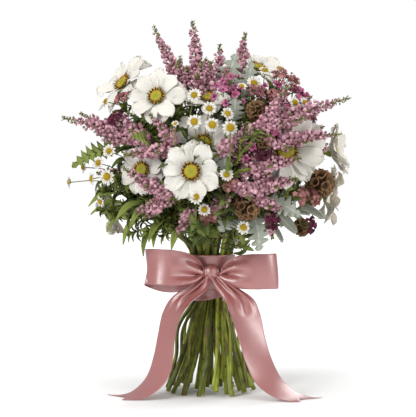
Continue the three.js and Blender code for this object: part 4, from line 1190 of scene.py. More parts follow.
def plant_material(name, dark, light, root=None, root_reach=0.25, roughness=0.6, grain_scale=300.0, grain=0.3,
                   veins=0.0, slant=0.0, vein_share=0.2, rib_share=0.0, depth=0.0, translucent=0.0):
    """A matt plant surface, dark to light by its tone, with veins along it and another colour at its root."""
    material, tree, shader = bare_material(FINE + name)
    if not shader:
        return material
    given = {"Grain scale": grain_scale, "Grain": grain}
    tone = add_node(tree, "ShaderNodeGroup", given, node_tree=tone_group())
    colour = mix_colour(tree, tone.outputs["Tone"], solid(dark), solid(light))
    height = tone.outputs["Grain"]
    if veins or root or rib_share:
        lines = add_node(tree, "ShaderNodeGroup", {"Count": veins, "Slant": slant}, node_tree=veins_group())
        line = lines.outputs["Line"]
        if veins:
            share = maths(tree, "MULTIPLY", line, vein_share)
            colour = mix_colour(tree, share, colour, solid(dimmed(dark, 0.62)))
            height = maths(tree, "SUBTRACT", height, maths(tree, "MULTIPLY", line, 1.5))
        if rib_share:
            share = maths(tree, "MULTIPLY", lines.outputs["Rib"], rib_share)
            colour = mix_colour(tree, share, colour, solid([min(1, 1.6 * x + 0.03) for x in light]))
        if root:
            near = maths(tree, "MINIMUM", maths(tree, "DIVIDE", lines.outputs["Along"], root_reach), 1.0)
            colour = mix_colour(tree, maths(tree, "SUBTRACT", 1.0, near), colour, solid(root))
    feed(tree, shader, {"Base Color": colour, "Roughness": roughness, "Specular IOR Level": PLANT_SPECULAR})
    if translucent:
        feed(tree, shader, {
            "Subsurface Weight": translucent, "Subsurface Radius": PETAL_SPREAD,
            "Subsurface Scale": SPREAD_SCALE})
    if depth:
        feed(tree, shader, {"Normal": bump(tree, height, depth)})
    return material


def petal_material(colours):
    return plant_material(
        "petal", dimmed(colours.petal, 0.82), colours.petal, root=list(colours.petal_root), root_reach=0.3,
        roughness=0.55, grain_scale=60, grain=0.15, veins=15, vein_share=0.06, depth=0.00008,
        translucent=0.25)


def ray_material(colours):
    return plant_material(
        "ray", dimmed(colours.petal, 0.8), colours.petal, root=list(colours.petal_root), root_reach=0.2,
        roughness=0.55, grain=0.2, veins=9, vein_share=0.12, translucent=0.1)


def dome_material(colours):
    return plant_material("chamomile dome", dimmed(colours.chamomile, 0.6), colours.chamomile, roughness=0.7,
                          grain_scale=600, grain=0.5)


# The bells are painted darker toward their roots, where they meet the stalk, as painted shade inside the
# spike.
def heather_material(colours):
    return plant_material("heather", colours.heather_dark, colours.heather_light, root_reach=0.45,
                          root=dimmed(colours.heather_dark, 0.7), grain_scale=500, grain=0.15)


def tip_material(colours):
    return plant_material("heather tip", dimmed(colours.heather_tip, 0.3), colours.heather_tip)


def dusky_material(colours):
    return plant_material("dusky petal", colours.dusky_dark, colours.dusky, root_reach=0.4,
                          root=dimmed(colours.dusky_dark, 0.4))


def burgundy_material(colours):
    return plant_material("burgundy petal", dimmed(colours.dusky_dark, 0.4), dimmed(colours.wax, 0.5),
                          root=dimmed(colours.dusky_dark, 0.3), root_reach=0.4, roughness=0.5)


def wax_material(colours):
    return plant_material("wax petal", colours.wax, colours.wax_light, root=dimmed(colours.wax, 0.35),
                          root_reach=0.35, roughness=0.35, veins=5, vein_share=0.15, translucent=0.1)


def wax_cup_material(colours):
    return plant_material("wax middle", dimmed(colours.wax, 0.3), dimmed(colours.wax, 0.7), roughness=0.3)


# The cells are painted darker from their rims down to their bottoms, as painted shade in their hollows.
def paper_material(colours):
    return plant_material("pod", dimmed(colours.pod, 0.5), colours.pod, root=list(colours.pod_dark),
                          root_reach=0.95, roughness=0.8, grain_scale=350, grain=0.35, depth=0.0003)


# The core is the pod's body, painted near-black as the shade inside the pod.
def pod_core_material(colours):
    return plant_material("pod core", colours.pod_dark, dimmed(colours.pod_dark, 1.6), roughness=0.9)


def leaf_material(colours):
    return plant_material("leaf", colours.leaf_dark, colours.leaf, roughness=0.5, grain_scale=120, grain=0.35,
                          veins=7, slant=0.5, vein_share=0.12, rib_share=0.35, depth=0.0001)


def silver_material(colours):
    return plant_material("silver leaf", dimmed(colours.silver, 0.5), colours.silver, roughness=0.8,
                          grain_scale=900, veins=6, slant=0.4, vein_share=0.1, rib_share=0.6, depth=0.00012)


def stem_material(colours):
    """Green stems with long brown patches, fine fibres and pale cut ends."""
    material, tree, shader = bare_material(FINE + "stem")
    if shader:
        given = {"Grain scale": 110.0, "Grain": 0.55}
        tone = add_node(tree, "ShaderNodeGroup", given, node_tree=tone_group())
        colour = mix_colour(tree, tone.outputs["Tone"], solid(colours.stem_dark), solid(colours.stem))
        place = add_node(tree, "ShaderNodeTexCoord").outputs["Object"]
        patches = eased(tree, drawn_out_noise(tree, place, (1.0, 1.0, 0.3), 170.0), 0.52, 0.68, 0.8)
        colour = mix_colour(tree, patches, colour, solid(colours.stem_brown))
        split = add_node(tree, "ShaderNodeSeparateXYZ", {"Vector": place})
        cut = maths(tree, "LESS_THAN", split.outputs["Z"], CUT_HEIGHT)
        fibres = drawn_out_noise(tree, place, (1.0, 1.0, 0.06), 1400.0)
        feed(tree, shader, {
            "Base Color": mix_colour(tree, cut, colour, solid(colours.cut_end)), "Roughness": STEM_ROUGHNESS,
            "Specular IOR Level": STEM_SPECULAR, "Normal": bump(tree, fibres, FIBRE_DEPTH)})
    return material


def disc_material(colours):
    """Florets whose shade says how far out of the disc they stand."""
    material, tree, shader = bare_material(FINE + "disc")
    if shader:
        shade = add_node(tree, "ShaderNodeAttribute", attribute_name="shade")
        ramp = add_node(tree, "ShaderNodeValToRGB", {"Fac": shade.outputs["Fac"]})
        stops = ((0.0, dimmed(colours.disc, 0.6)), (0.3, colours.disc), (0.5, colours.disc_rim),
                 (0.66, colours.disc_rim), (0.78, colours.disc_spike), (1.0, dimmed(colours.disc_spike, 0.5)))
        while len(ramp.color_ramp.elements) < len(stops):
            ramp.color_ramp.elements.new(0.5)
        for element, (position, colour) in zip(ramp.color_ramp.elements, stops):
            element.position = position
            element.color = solid(colour)
        feed(tree, shader, {"Base Color": ramp, "Roughness": DISC_ROUGHNESS})
    return material


def satin_material(colours):
    """Satin with faint streaks along it and a slightly darker edge on each side."""
    material, tree, shader = bare_material(FINE + "satin")
    if shader:
        spot = add_node(tree, "ShaderNodeUVMap", uv_map="UVMap")
        split = add_node(tree, "ShaderNodeSeparateXYZ", {"Vector": spot})
        streaks = drawn_out_noise(tree, spot, (60.0, 3.0, 1.0), 4.0)
        off = maths(tree, "ABSOLUTE", maths(tree, "SUBTRACT", split.outputs["X"], 0.5))
        edge = maths(tree, "MULTIPLY", maths(tree, "GREATER_THAN", off, 0.478), 0.35)
        colour = mix_colour(tree, maths(tree, "MULTIPLY", streaks, 0.25), solid(colours.satin),
                            solid(dimmed(colours.satin, 0.78)))
        feed(tree, shader, {
            "Base Color": mix_colour(tree, edge, colour, solid(dimmed(colours.satin, 0.7))),
            "Roughness": SATIN_ROUGHNESS, "IOR": SATIN_IOR, "Specular IOR Level": SATIN_SPECULAR,
            "Normal": bump(tree, streaks, WEAVE_DEPTH)})
    return material


# Shapes that are copied, each about one unit large


# Turned forms that open or point along +Z: how many sides, and the profile as in lathe.
TURNED = {
    # A heather bell with a hollow mouth
    "floret": (6, [(0, -0.2), (0.84, 0.55), (0.62, 1.6), (0, 1.2)]),
    # A half-open blossom with five points
    "blossom": (10, [(0, -0.4), (0.55, 0.2), (0.95, 0.9, 5, 0.22), (0.3, 0.6), (0, 0.7)]),
    "bud": (5, [(0, 0), (0.55, 0.45), (0.45, 1.1), (0, 1.7)]),
    "disc floret": (5, [(0, -0.4), (0.62, 0.1), (0.5, 0.8), (0, 1.15)]),
    "spike": (4, [(0, -0.2), (0.2, 0.2), (0, 1.0)]),
    "dome": (12, [(0, -0.2), (0.9, -0.1), (1.0, 0.1), (0.82, 0.5), (0.45, 0.78), (0, 0.86)]),
    # A papery cell of a seed pod: an open cup with five points
    "cell": (10, [(0, -0.6), (0.62, -0.1), (0.92, 0.55), (1.05, 1.05, 5, 0.16), (0.78, 0.75), (0.5, 0.15),
                  (0, 0.0)]),
    "pod core": (12, [(0, -0.8), (0.5, -0.64), (0.8, 0), (0.5, 0.64), (0, 0.8)]),
}


def lobed_width(t):
    """Half the width of a leaf cut nearly to its rib in rounded lobes, as on dusty miller."""
    whole = 0.5 * np.sin(np.pi * np.clip(t, 0, 1) ** 0.75 * 0.93 + 0.12)
    cut = 0.5 + 0.5 * np.cos(2 * np.pi * (t * 5.2 + 0.1))
    return 0.035 + whole * (0.28 + 0.72 * np.clip(cut * 1.5, 0, 1))


def fern_width(t):
    """Half the width of a feathery leaf cut to its rib in narrow pointed segments."""
    whole = 0.5 * np.sin(np.pi * np.clip(t, 0, 1) ** 0.6 * 0.95)
    cut = 0.5 + 0.5 * np.cos(2 * np.pi * t * 7.5)
    return 0.02 + whole * (0.12 + 0.88 * cut)


def oval_width(t):
    return 0.03 + 0.47 * np.sin(np.pi * np.clip(t, 0, 1) ** 0.8) ** 0.9


# Leaves and petals: rows, columns, how far they are cupped, their thickness and the functions, as in blade.
BLADES = {
    # A small flower's petal, rounded
    "ray": (5, 3, 0.16, 0.03,
            lambda t: 0.08 + 0.42 * np.sin(np.pi * np.clip(t, 0, 1) ** 0.8 * 0.86 + 0.1) * (1 - 0.25 * t**6),
            lambda t: 0.10 * np.sin(np.pi * t * 0.9),
            lambda t, s: -0.10 * np.abs(s) ** 2 * t**3),
    "oval": (9, 5, 0.22, 0.03,
             lambda t: oval_width(t) + 0.015 * np.sin(26 * t),
             lambda t: 0.10 * np.sin(np.pi * t) - 0.06 * t**2),
    "small": (6, 3, 0.24, 0.04, oval_width,
              lambda t: 0.14 * np.sin(np.pi * t) - 0.08 * t**2),
    "round": (10, 7, 0.14, 0.035,
              lambda t: 0.03 + 0.47 * np.sqrt(np.clip(np.sin(np.pi * np.clip(t * 0.97 + 0.015, 0, 1)), 0, 1)),
              lambda t: 0.07 * np.sin(np.pi * t) + 0.02 * np.sin(7 * t)),
    "lobed": (34, 7, 0.16, 0.03, lobed_width,
              lambda t: 0.09 * np.sin(np.pi * t) - 0.05 * t**2,
              lambda t, s: 0.055 * np.abs(s) ** 1.5 * (1 - t)),
    "fern": (31, 3, 0.1, 0.025, fern_width,
             lambda t: 0.10 * np.sin(np.pi * t),
             lambda t, s: 0.14 * np.abs(s) * (1 - 0.6 * t)),
    "sepal": (5, 3, 0.2, 0.08,
              lambda t: 0.5 * (1 - t) ** 0.6 + 0.02,
              lambda t: 0.05 * np.sin(np.pi * t)),
}


def needle_mesh():
    """A small pointed leaf along +X, with four sides."""
    points = [(0, 0, 0), (0.45, -0.5, 0.1), (0.45, 0.5, 0.1), (0.4, 0, -0.02), (0.42, 0, 0.1), (1, 0, 0.04)]
    faces = [(0, 1, 4), (0, 4, 2), (4, 1, 5), (4, 5, 2), (0, 3, 1), (0, 2, 3), (3, 5, 1), (3, 2, 5)]
    uvs = [(points[corner][1] + 0.5, points[corner][0]) for face in faces for corner in face]
    return mesh_of("needle", points, faces, uvs)


def unit_shape(name):
    """A new mesh of the named shape."""
    if name in TURNED:
        return turned(name, *TURNED[name])
    if name in BLADES:
        return blade(name, *BLADES[name])
    return needle_mesh()


# What the sprays share


# How much the main stems differ in radius, and how much wider their feet are, up to this height in mm
STEM_RANGE = (0.92, 1.14)
FOOT_SWELL = 1.12
FOOT_HEIGHT = 40
# The radius of a stem at its fork, by what the spray carries
DAISY_FORK = 1.9
HEATHER_FORK = 1.6
FLOWER_FORK = 1.4
POD_FORK = 1.6
LEAF_FORK = 1.5
# The share of the stems that are cut higher than the others, and by how much of their first step
CUT_SHARE = 0.5
CUT_RANGE = (0.1, 0.45)
# Only stems whose foot stands further out than this, in mm, have a shoot beside them.
SHOOT_REACH = 20
STUBS = 4
# The radii of a thinner stem beside a main one, and of a stub, from where they leave it
SHOOT_RADII = [1.2, 1.5, 1.7, 1.8, 1.8]
STUB_RADII = [1.25, 1.0, 0.6]
# The height in mm that the tips of the small leaves stay above, so that none hangs over the bow
LOWEST_LEAF = 157


def plant_lines(name, thick, rng, slim=1.0):
    """The lines of a spray's stem and branches, and the branches' places. thick is the stem's radius at its
    fork, and slim is the share of their radius in the solids that the branches have."""
    layout = lay_out()
    stem, fork, branches = layout.plants[name]
    at = layout.at
    tone = rng.uniform(0.1, 1.0)
    whole = smooth_path([at[i] for i in stem] + [at[fork]], 13)
    radius = bpy.context.scene.bouquet_sizes.stem_radius / MM * rng.uniform(*STEM_RANGE)
    if rng.random() < CUT_SHARE:
        whole[0] += (whole[1] - whole[0]) * rng.uniform(*CUT_RANGE)
    swells = [FOOT_SWELL if point[2] < FOOT_HEIGHT else 1 for point in whole]
    radii = [radius * rng.uniform(0.9, 1.06) * swell for swell in swells]
    radii[-1] = thick
    lines = [(whole, radii, tone), *shoots([at[i] for i in stem], tone, rng)]
    paths = []
    for branch_radius, points in branches:
        path = [at[i] for i in points]
        paths.append(path)
        fine = slim * branch_radius
        lines.append((path, [1.2 * branch_radius, fine, fine, fine], 0.4 * tone))
    return lines, paths


def shoots(stem, tone, rng):
    """What stands off a stem below the binding: a thinner stem that bows out beside it, and a few stubs."""
    foot, middle, top = (vector(at) for at in stem[:3])
    out = unit(np.array([foot[0], foot[1], 0.001]))
    reach = np.linalg.norm(foot[:2])
    lines = []
    if reach > SHOOT_REACH:
        side = np.cross((0, 0, 1), out)
        drift = rng.uniform(-6, 6)
        low = rng.uniform(1, 22)
        path = [
            top + out * 2 + (0, 0, 6),
            top + out * 5 + (0, 0, -9) + side * drift * 0.3,
            middle + out * (reach * 0.16) + (0, 0, 20) + side * drift * 0.7,
            middle + out * (reach * 0.2) + (0, 0, -12) + side * drift,
            foot + out * rng.uniform(-4, 1) + (0, 0, low) + side * drift * 1.1,
        ]
        shade = float(np.clip(tone + rng.uniform(-0.4, 0.2), 0, 1))
        lines.append((path, SHOOT_RADII, shade))
    for _ in range(STUBS):
        share = rng.uniform(0.1, 0.86)
        at = foot + (top - foot) * share + (middle - (foot + top) / 2) * 4 * share * (1 - share)
        turn = rng.uniform(0, 2 * math.pi)
        way = unit(np.array([math.cos(turn), math.sin(turn), rng.uniform(0.8, 1.8)]))
        long = rng.uniform(3.2, 7.0)
        lines.append(([at, at + way * long * 0.5, at + way * long], STUB_RADII, 0.15))
    return lines


def leaves_along(copies, path, start, end, count, size, rng, spread=1.1, shade=(0.2, 0.9)):
    """Small leaves round a stretch of a path, from a share of its length to another."""
    course = smooth_path(path, 24)
    for k in range(count):
        share = start + (end - start) * (k + 0.5) / count
        spot = share * (len(course) - 1)
        i = min(int(spot), len(course) - 2)
        at = course[i] + (course[i + 1] - course[i]) * (spot - i)
        along = unit(course[i + 1] - course[i])
        turn = k * GOLDEN + rng.uniform(-0.4, 0.4)
        axes = about(pointing(along), turn, math.pi / 2 - spread + rng.uniform(-0.2, 0.2))
        length = size[0] * rng.uniform(0.75, 1.15)
        if at[2] + length * axes[2, 0] < LOWEST_LEAF:
            continue
        copies.add(at, axes, (length, size[1] * rng.uniform(0.8, 1.1), length), rng.uniform(*shade))


def nearest_path(paths, place, knee=2):
    """The path whose point of this number is nearest to a place."""
    return min(paths, key=lambda path: np.linalg.norm(path[knee] - place))


# Bunches of buds between the larger flowers, by the spray that they grow in: a middle, a radius and a colour.
BUNCHES = {
    "wax_flower_right": [
        ((77, -74, 335), 15, "dusky"), ((91, -70, 320), 11, "magenta"), ((45, -94, 323), 9, "dusky"),
        ((59, -121, 287), 10, "magenta"), ((52, -119, 262), 11, "burgundy"), ((66, -88, 318), 9, "dusky"),
    ],
    "wax_flower_back": [
        ((60, 100, 290), 11, "dusky"), ((-70, 60, 318), 11, "dusky"), ((20, 60, 336), 10, "magenta"),
        ((0, 26, 344), 14, "dusky"), ((48, 40, 326), 12, "magenta"), ((104, 12, 304), 13, "dusky"),
        ((-106, -4, 296), 12, "dusky"),
    ],
    "chamomile_left": [((-97, -90, 296), 8, "burgundy"), ((-92, -80, 316), 7, "dusky")],
    "chamomile_low": [((19, -124, 229), 7, "dusky"), ((-3, -114, 196), 7, "dusky")],
    "heather_right_low": [((62, -94, 190), 8, "burgundy"), ((92, -98, 216), 8, "dusky")],
    "seed_pods_right": [((104, -48, 184), 9, "burgundy"), ((106, -76, 214), 8, "dusky")],
    "heather_back_right": [((96, 60, 236), 9, "burgundy")],
    "heather_back_left": [((-90, 60, 250), 9, "dusky")],
}
BUNCH_MATERIALS = {"dusky": dusky_material, "burgundy": burgundy_material, "magenta": wax_material}
# How many buds a bunch has for each mm of its radius
BUD_DENSITY = 3.4
BUD_RANGE = (1.7, 3.0)

# Tufts of leaves between the flowers: a middle, a radius and how many leaves.
TUFTS = {
    "heather_top": [
        ((0, -30, 316), 20, 18), ((-36, -8, 308), 19, 16), ((34, -6, 306), 19, 16), ((0, -2, 278), 22, 18),
        ((-26, 2, 336), 15, 12), ((20, 4, 334), 15, 12),
    ],
    "daisy_stem_back": [((30, 6, 246), 22, 16), ((-30, 8, 248), 22, 16)],
    "daisy_stem_right": [((74, -6, 282), 19, 16), ((72, 0, 238), 20, 16)],
    "daisy_stem_upper_left": [((-74, -8, 284), 19, 16), ((-70, 0, 240), 20, 16)],
    "foliage_green_left": [
        ((-84, -66, 194), 11, 22), ((-104, -50, 198), 11, 20), ((-66, -66, 178), 10, 18),
        ((-50, -62, 174), 9, 14), ((-118, -36, 200), 10, 16), ((-84, -40, 176), 11, 16),
    ],
    "chamomile_centre": [((-36, -84, 296), 14, 14), ((36, -84, 294), 14, 14)],
    "chamomile_left": [
        ((-90, -74, 306), 11, 14), ((-72, -84, 290), 15, 18), ((-94, -74, 232), 12, 22),
        ((-112, -62, 222), 11, 18),
    ],
    "chamomile_low": [((-24, -92, 206), 12, 20), ((14, -92, 210), 13, 18), ((4, -70, 184), 12, 16)],
    "chamomile_top_right": [((62, -62, 322), 16, 16), ((30, -60, 330), 14, 14)],
    "wax_flower_right": [((64, -90, 292), 16, 18), ((88, -62, 296), 14, 14)],
    "heather_left": [((-84, -70, 264), 16, 18)],
    "heather_left_low": [((-64, -78, 204), 12, 26), ((-50, -72, 186), 11, 20)],
    "heather_right_low": [((72, -78, 222), 16, 18), ((60, -66, 196), 14, 14)],
    "seed_pods_right": [((92, -44, 216), 16, 16)],
    "wax_flower_back": [((-50, 60, 300), 16, 14), ((60, 80, 262), 16, 14)],
    "chamomile_back": [((0, 96, 240), 18, 16)],
}


def bunches(name, paths, lines, colours, seed, rng):
    """The meshes of a spray's bunches of buds, if it has any. Their stalks are added to its lines."""
    kinds = {}
    for middle, radius, colour in BUNCHES.get(name, []):
        middle = vector(middle)
        nearest = nearest_path(paths, middle)
        face = unit(middle - BUNCH_AIM)
        fork = middle - face * radius
        lines.append(([nearest[1], (nearest[2] + fork) / 2, fork], [0.9] * 3, 0.2))
        buds = kinds.setdefault(colour, Copies())
        axes = pointing(face)
        count = int(BUD_DENSITY * radius)
        for k in range(count):
            share = math.sqrt((k + 0.5) / count)
            side = side_of(axes, k * GOLDEN + rng.uniform(-0.4, 0.4))
            at = middle + side * radius * share * rng.uniform(0.9, 1.1)
            at = at + face * radius * (0.5 * math.sqrt(max(0, 1 - share**2)) + rng.uniform(-0.25, 0.15))
            if k % 3 == 0:
                lines.append(([fork, (fork + at) / 2 + side, at], [0.5, 0.4, 0.4], 0.2))
            heading = pointing(face + side * share + rng.normal(0, 0.25, 3), k)
            buds.add(at, heading, rng.uniform(*BUD_RANGE), rng.uniform(0.0, 1.0))
    return [buds.mesh("blossom", BUNCH_MATERIALS[colour](colours), seed) for colour, buds in kinds.items()]


def tufts(name, paths, lines, colours, seed, rng):
    """The mesh of a spray's tufts of leaves, or no mesh, in a list. Their stalks are added to its lines."""
    leaves = Copies()
    for middle, radius, count in TUFTS.get(name, []):
        middle = vector(middle)
        nearest = nearest_path(paths, middle)
        face = unit(middle - BUNCH_AIM)
        foot = middle - face * radius
        lines.append(([nearest[1], (nearest[2] + foot) / 2, foot, middle], [0.9, 0.8, 0.7, 0.4], 0.1))
        axes = pointing(face)
        for k in range(count):
            turn = k * GOLDEN + rng.uniform(-0.3, 0.3)
            share = (k + 0.5) / count
            way = about(axes, turn, math.radians(-25 + 85 * share + rng.uniform(-12, 12)))
            length = radius * rng.uniform(0.8, 1.25)
            size = (length, length * rng.uniform(0.26, 0.42), length)
            leaves.add(foot + (middle - foot) * share, way, size, rng.uniform(0.0, 1.0))
    return [leaves.mesh("small", leaf_material(colours), seed)] if leaves.rows else []


# Daisies


# Daisies in full bloom, whose petals reach out this much further
FULL_PETALS = {"upper_left": 1.13, "top_left": 1.16, "front_upper": 1.2, "top_right": 1.08, "right_low": 1.05}
# Daisies larger than this, in mm, have petals slimmer by this share.
SLIM_RADIUS = 40
SLIM_PETAL = 0.86
# Half a petal's width as a share of the bloom's radius, by how far along it, for a bloom of nine petals
PETAL_WIDTHS = [(0.0, 0.05), (0.12, 0.08), (0.25, 0.135), (0.4, 0.2), (0.55, 0.25), (0.7, 0.275),
                (0.82, 0.262), (0.91, 0.205), (0.97, 0.13), (1.0, 0.07)]
PETAL_ROWS = 14
PETAL_COLUMNS = 11
# How far petals reach, as shares of the radius, in the upper layer and in the lower one, which is less raised
UPPER_REACH = 0.97
LOWER_REACH = 0.93
LOWER_DROP = 7
# A tip has two notches or, less often, one deeper notch, as shares of the petal's length.
TWO_NOTCHES = 0.6
NOTCH_DEPTH = 0.075
DEEP_NOTCH = 0.11
NOTCH_WIDTH = 0.16
RIB_HEIGHT = 0.017
# A disc's radius as a share of its bloom's, and how many florets and spikes it has
DISC_SHARE = 0.25
DISC_FLORETS = 150
DISC_SPIKES = 64
SEPALS = 10
# The feathery leaves along a daisy's stalk: from and to which share of it, how many, and their length and
# width. The large one below its bloom has a size on each of its axes.
DAISY_FERNS = (0.22, 0.7, 14, (28, 13))
LARGE_FERN = (32, 19, 32)


def petal_grid(bloom, turn, lift, length, ruffle, rng):
    """A daisy's petal, in the bloom's own frame and mm: broad and ruffled, with a notched tip and ribs."""
    radius = bloom.radius
    t = np.linspace(0.05, 1, PETAL_ROWS)[:, None]
    s = np.linspace(-1, 1, PETAL_COLUMNS)[None, :]
    slim = SLIM_PETAL if radius > SLIM_RADIUS else 1
    width = np.interp(t, *zip(*PETAL_WIDTHS)) * (9 / bloom.petals) ** 0.7 * slim * rng.uniform(0.84, 1.08)
    if rng.random() < TWO_NOTCHES:
        notches = [(rng.uniform(-0.5, -0.25), NOTCH_DEPTH), (rng.uniform(0.2, 0.5), NOTCH_DEPTH)]
    else:
        notches = [(rng.uniform(-0.2, 0.2), DEEP_NOTCH)]
    tip = 1 - 0.08 * np.abs(s) ** 2
    for middle, depth in notches:
        tip = tip - depth * rng.uniform(0.6, 1.4) * np.exp(-(((s - middle) / NOTCH_WIDTH) ** 2))
    reach = radius * length * t * (1 + (tip - 1) * t**3)
    root = PETAL_ROOT * radius
    past = np.maximum(reach - root, 0)
    out = np.minimum(reach, root) + past * math.cos(lift)
    share = past / (radius - root)
    bow, tip_bend = rng.uniform(0.03, 0.10), rng.uniform(-0.16, 0.05)
    height = past * math.sin(lift) + radius * (bow * np.sin(np.pi * share) + tip_bend * share**3)
    cupped = rng.uniform(0.02, 0.09)
    height = height + radius * cupped * np.abs(s) ** 1.6 * np.sin(np.pi * np.clip(share, 0, 1) * 0.9)
    phase, twist = rng.uniform(0, 2 * math.pi), rng.uniform(-0.09, 0.09)
    right = np.sin(phase + 8 * share) + 0.5 * np.sin(2.1 * phase + 17 * share)
    left = np.sin(phase * 1.7 + 7 * share + 2) + 0.5 * np.sin(phase + 15 * share)
    waves = right * np.clip(s, 0, 1) ** 1.4 + left * np.clip(-s, 0, 1) ** 1.4
    height = height + radius * ruffle * waves * np.clip(share * 1.6, 0, 1)
    height = height + radius * twist * s * share
    ribs = np.cos(5 * math.pi * s) * np.clip(share * 3, 0, 1) * (1 - 0.5 * share)
    height = height + radius * RIB_HEIGHT * ribs
    across = radius * width * s + radius * rng.uniform(-0.05, 0.05) * share**2
    grid = np.empty((PETAL_ROWS, PETAL_COLUMNS, 3))
    grid[..., 0] = out * math.cos(turn) + across * math.sin(turn)
    grid[..., 1] = out * math.sin(turn) - across * math.cos(turn)
    grid[..., 2] = height
    return grid


def petals_mesh(bloom, sizes, material, rng):
    """Two layers of petals: one for each of the bloom's petals, and half as many a little lower."""
    origin, axes = bloom_frame(bloom)
    points, faces, uvs, shade, smooth = [], [], [], [], []
    full = FULL_PETALS.get(bloom.name, 1)
    low = petal_lift(0, bloom.cup) - math.radians(LOWER_DROP)
    layers = [(i, petal_lift(i, bloom.cup), UPPER_REACH * full) for i in range(bloom.petals)]
    layers += [(i + 0.5, low, LOWER_REACH * full) for i in range(0, bloom.petals, 2)]
    own_faces, own_uvs = blade_faces(PETAL_ROWS, PETAL_COLUMNS)
    for i, lift, length in layers:
        turn = 2 * math.pi * i / bloom.petals + rng.uniform(-0.07, 0.07)
        lift += math.radians(rng.uniform(-4, 4))
        grid = petal_grid(bloom, turn, lift, length * rng.uniform(0.9, 1.04), sizes.ruffle, rng)
        local = blade_points(grid, sizes.petal_thickness / MM)
        start = len(points)
        points += list((origin + local @ axes.T) * MM)
        faces += [[corner + start for corner in face] for face in own_faces]
        uvs += own_uvs
        smooth += blade_smooth(PETAL_ROWS, PETAL_COLUMNS)
        shade += [rng.uniform(0.45, 1.0)] * len(local)
    return mesh_of("petals", points, faces, uvs, material, smooth, shade)


def disc_meshes(bloom, colours, seed, rng):
    """A disc: a low dome, florets packed on it in a spiral, and a ring of dark spikes round them."""
    radius = bloom.radius
    origin, axes = bloom_frame(bloom)
    rim = DISC_SHARE * radius
    seat = 2.4 + (DISC_SHARE - PETAL_ROOT) * radius * math.tan(math.radians(bloom.cup + 9))
    material = disc_material(colours)
    profile = [(0, 1.35), (0.8 * rim, seat - 0.6), (0.92 * rim, seat + 0.6), (0.7 * rim, seat + 2.0),
               (0.35 * rim, seat + 2.3), (0, seat + 1.9)]
    local, faces = lathe(profile, 20)
    base = mesh_of("base", (origin + np.array(local) @ axes.T) * MM, faces, material=material,
                   shade=[0.25] * len(local))
    florets, spikes = Copies(), Copies()
    for k in range(DISC_FLORETS):
        share = math.sqrt((k + 0.5) / DISC_FLORETS)
        height = seat + 0.9 + 1.5 * math.sqrt(max(0, 1 - share**2)) + 0.9 * share * (1 - share)
        out = side_of(np.eye(3), k * GOLDEN)
        way = unit(out * share * 0.9 + (0, 0, 1))
        at = out * rim * share * 0.97 + (0, 0, height - 0.5)
        size = rim * (0.062 + 0.03 * share)
        florets.add(origin + axes @ at, pointing(axes @ way, k), (size, size, size * (1.2 + 0.8 * share)),
                    min(0.93, share * 0.92 + rng.uniform(-0.07, 0.07)))
    for k in range(DISC_SPIKES):
        out = side_of(np.eye(3), 2 * math.pi * k / DISC_SPIKES + rng.uniform(-0.05, 0.05))
        at = out * rim * rng.uniform(0.78, 0.96) + (0, 0, seat + 0.9)
        way = axes @ unit(out * rng.uniform(0.5, 2.6) + (0, 0, 1))
        spikes.add(origin + axes @ at, pointing(way, k), (3.2, 3.2, radius * rng.uniform(0.09, 0.17)),
                   rng.uniform(0.8, 1.0) if k % 4 else 0.62)
    return [base, florets.mesh("disc floret", material, seed), spikes.mesh("spike", material, seed)]


def add_fern(leaves, path, side):
    """A large feathery leaf that leaves a daisy's stalk below its bloom, to one side, with its face up."""
    along = unit(path[2] - path[1])
    across = unit(np.cross(along, (0, 0, 1))) * side
    way = unit(across + along * 0.7)
    up = (0, 0, 1) + along * 0.4
    leaves.add((path[1] + path[2]) / 2, frame_at(up - way * way.dot(up), way), LARGE_FERN, 0.6)


def add_sepals(sepals, lines, bloom, rng):
    """The green cup behind a bloom: a ring of sepals, and the swelling of the stalk that they stand on."""
    origin, axes = bloom_frame(bloom)
    radius, back = bloom.radius, axes[:, 2]
    for k in range(SEPALS):
        own = about(axes, 2 * math.pi * k / SEPALS, math.radians(bloom.cup + 14))
        size = (0.36 * radius, 0.16 * radius, 0.36 * radius)
        sepals.add(origin - back * 4.4, own, size, rng.uniform(0.3, 0.9))
    lines.append(([origin - back * 6.5, origin - back * 4, origin - back * 1.6],
                  [1.4, 0.11 * radius, 0.15 * radius], 0.6))


class BOUQUET_OT_daisies(bpy.types.Operator):
    """Makes the daisies: stems with feathery leaves, two layers of ruffled petals and discs of florets"""
    bl_idname = "bouquet.daisies"
    bl_label = "Make Daisies"

    def execute(self, context):
        sizes, colours = context.scene.bouquet_sizes, context.scene.bouquet_colours
        rng = np.random.default_rng(sizes.seed)
        petal, leaf, stem = petal_material(colours), leaf_material(colours), stem_material(colours)
        for spray, row in DAISY_SPRAYS.items():
            name = "daisy_stem_" + spray
            lines, paths = plant_lines(name, DAISY_FORK, rng)
            leaves, sepals = Copies(), Copies()
            for i, (path, bloom) in enumerate(zip(paths, row["blooms"])):
                add_fern(leaves, path, 1 if i % 2 else -1)
                leaves_along(leaves, path, *DAISY_FERNS, rng, shade=(0.0, 0.7))
                add_sepals(sepals, lines, bloom, rng)
            meshes = tufts(name, paths, lines, colours, sizes.seed, rng)
            meshes += [stalks(lines, stem), leaves.mesh("fern", leaf, sizes.seed),
                       sepals.mesh("sepal", stem, sizes.seed)]
            add_piece("fine_" + name, meshes, [name], "stem")
            for bloom in row["blooms"]:
                disc = "daisy_disc_" + bloom.name
                add_piece("fine_" + disc, disc_meshes(bloom, colours, sizes.seed, rng), [disc], "disc")
                ring = "daisy_petals_" + bloom.name
                add_piece("fine_" + ring, [petals_mesh(bloom, sizes, petal, rng)], [ring], "petal")
        return {"FINISHED"}


# Heather


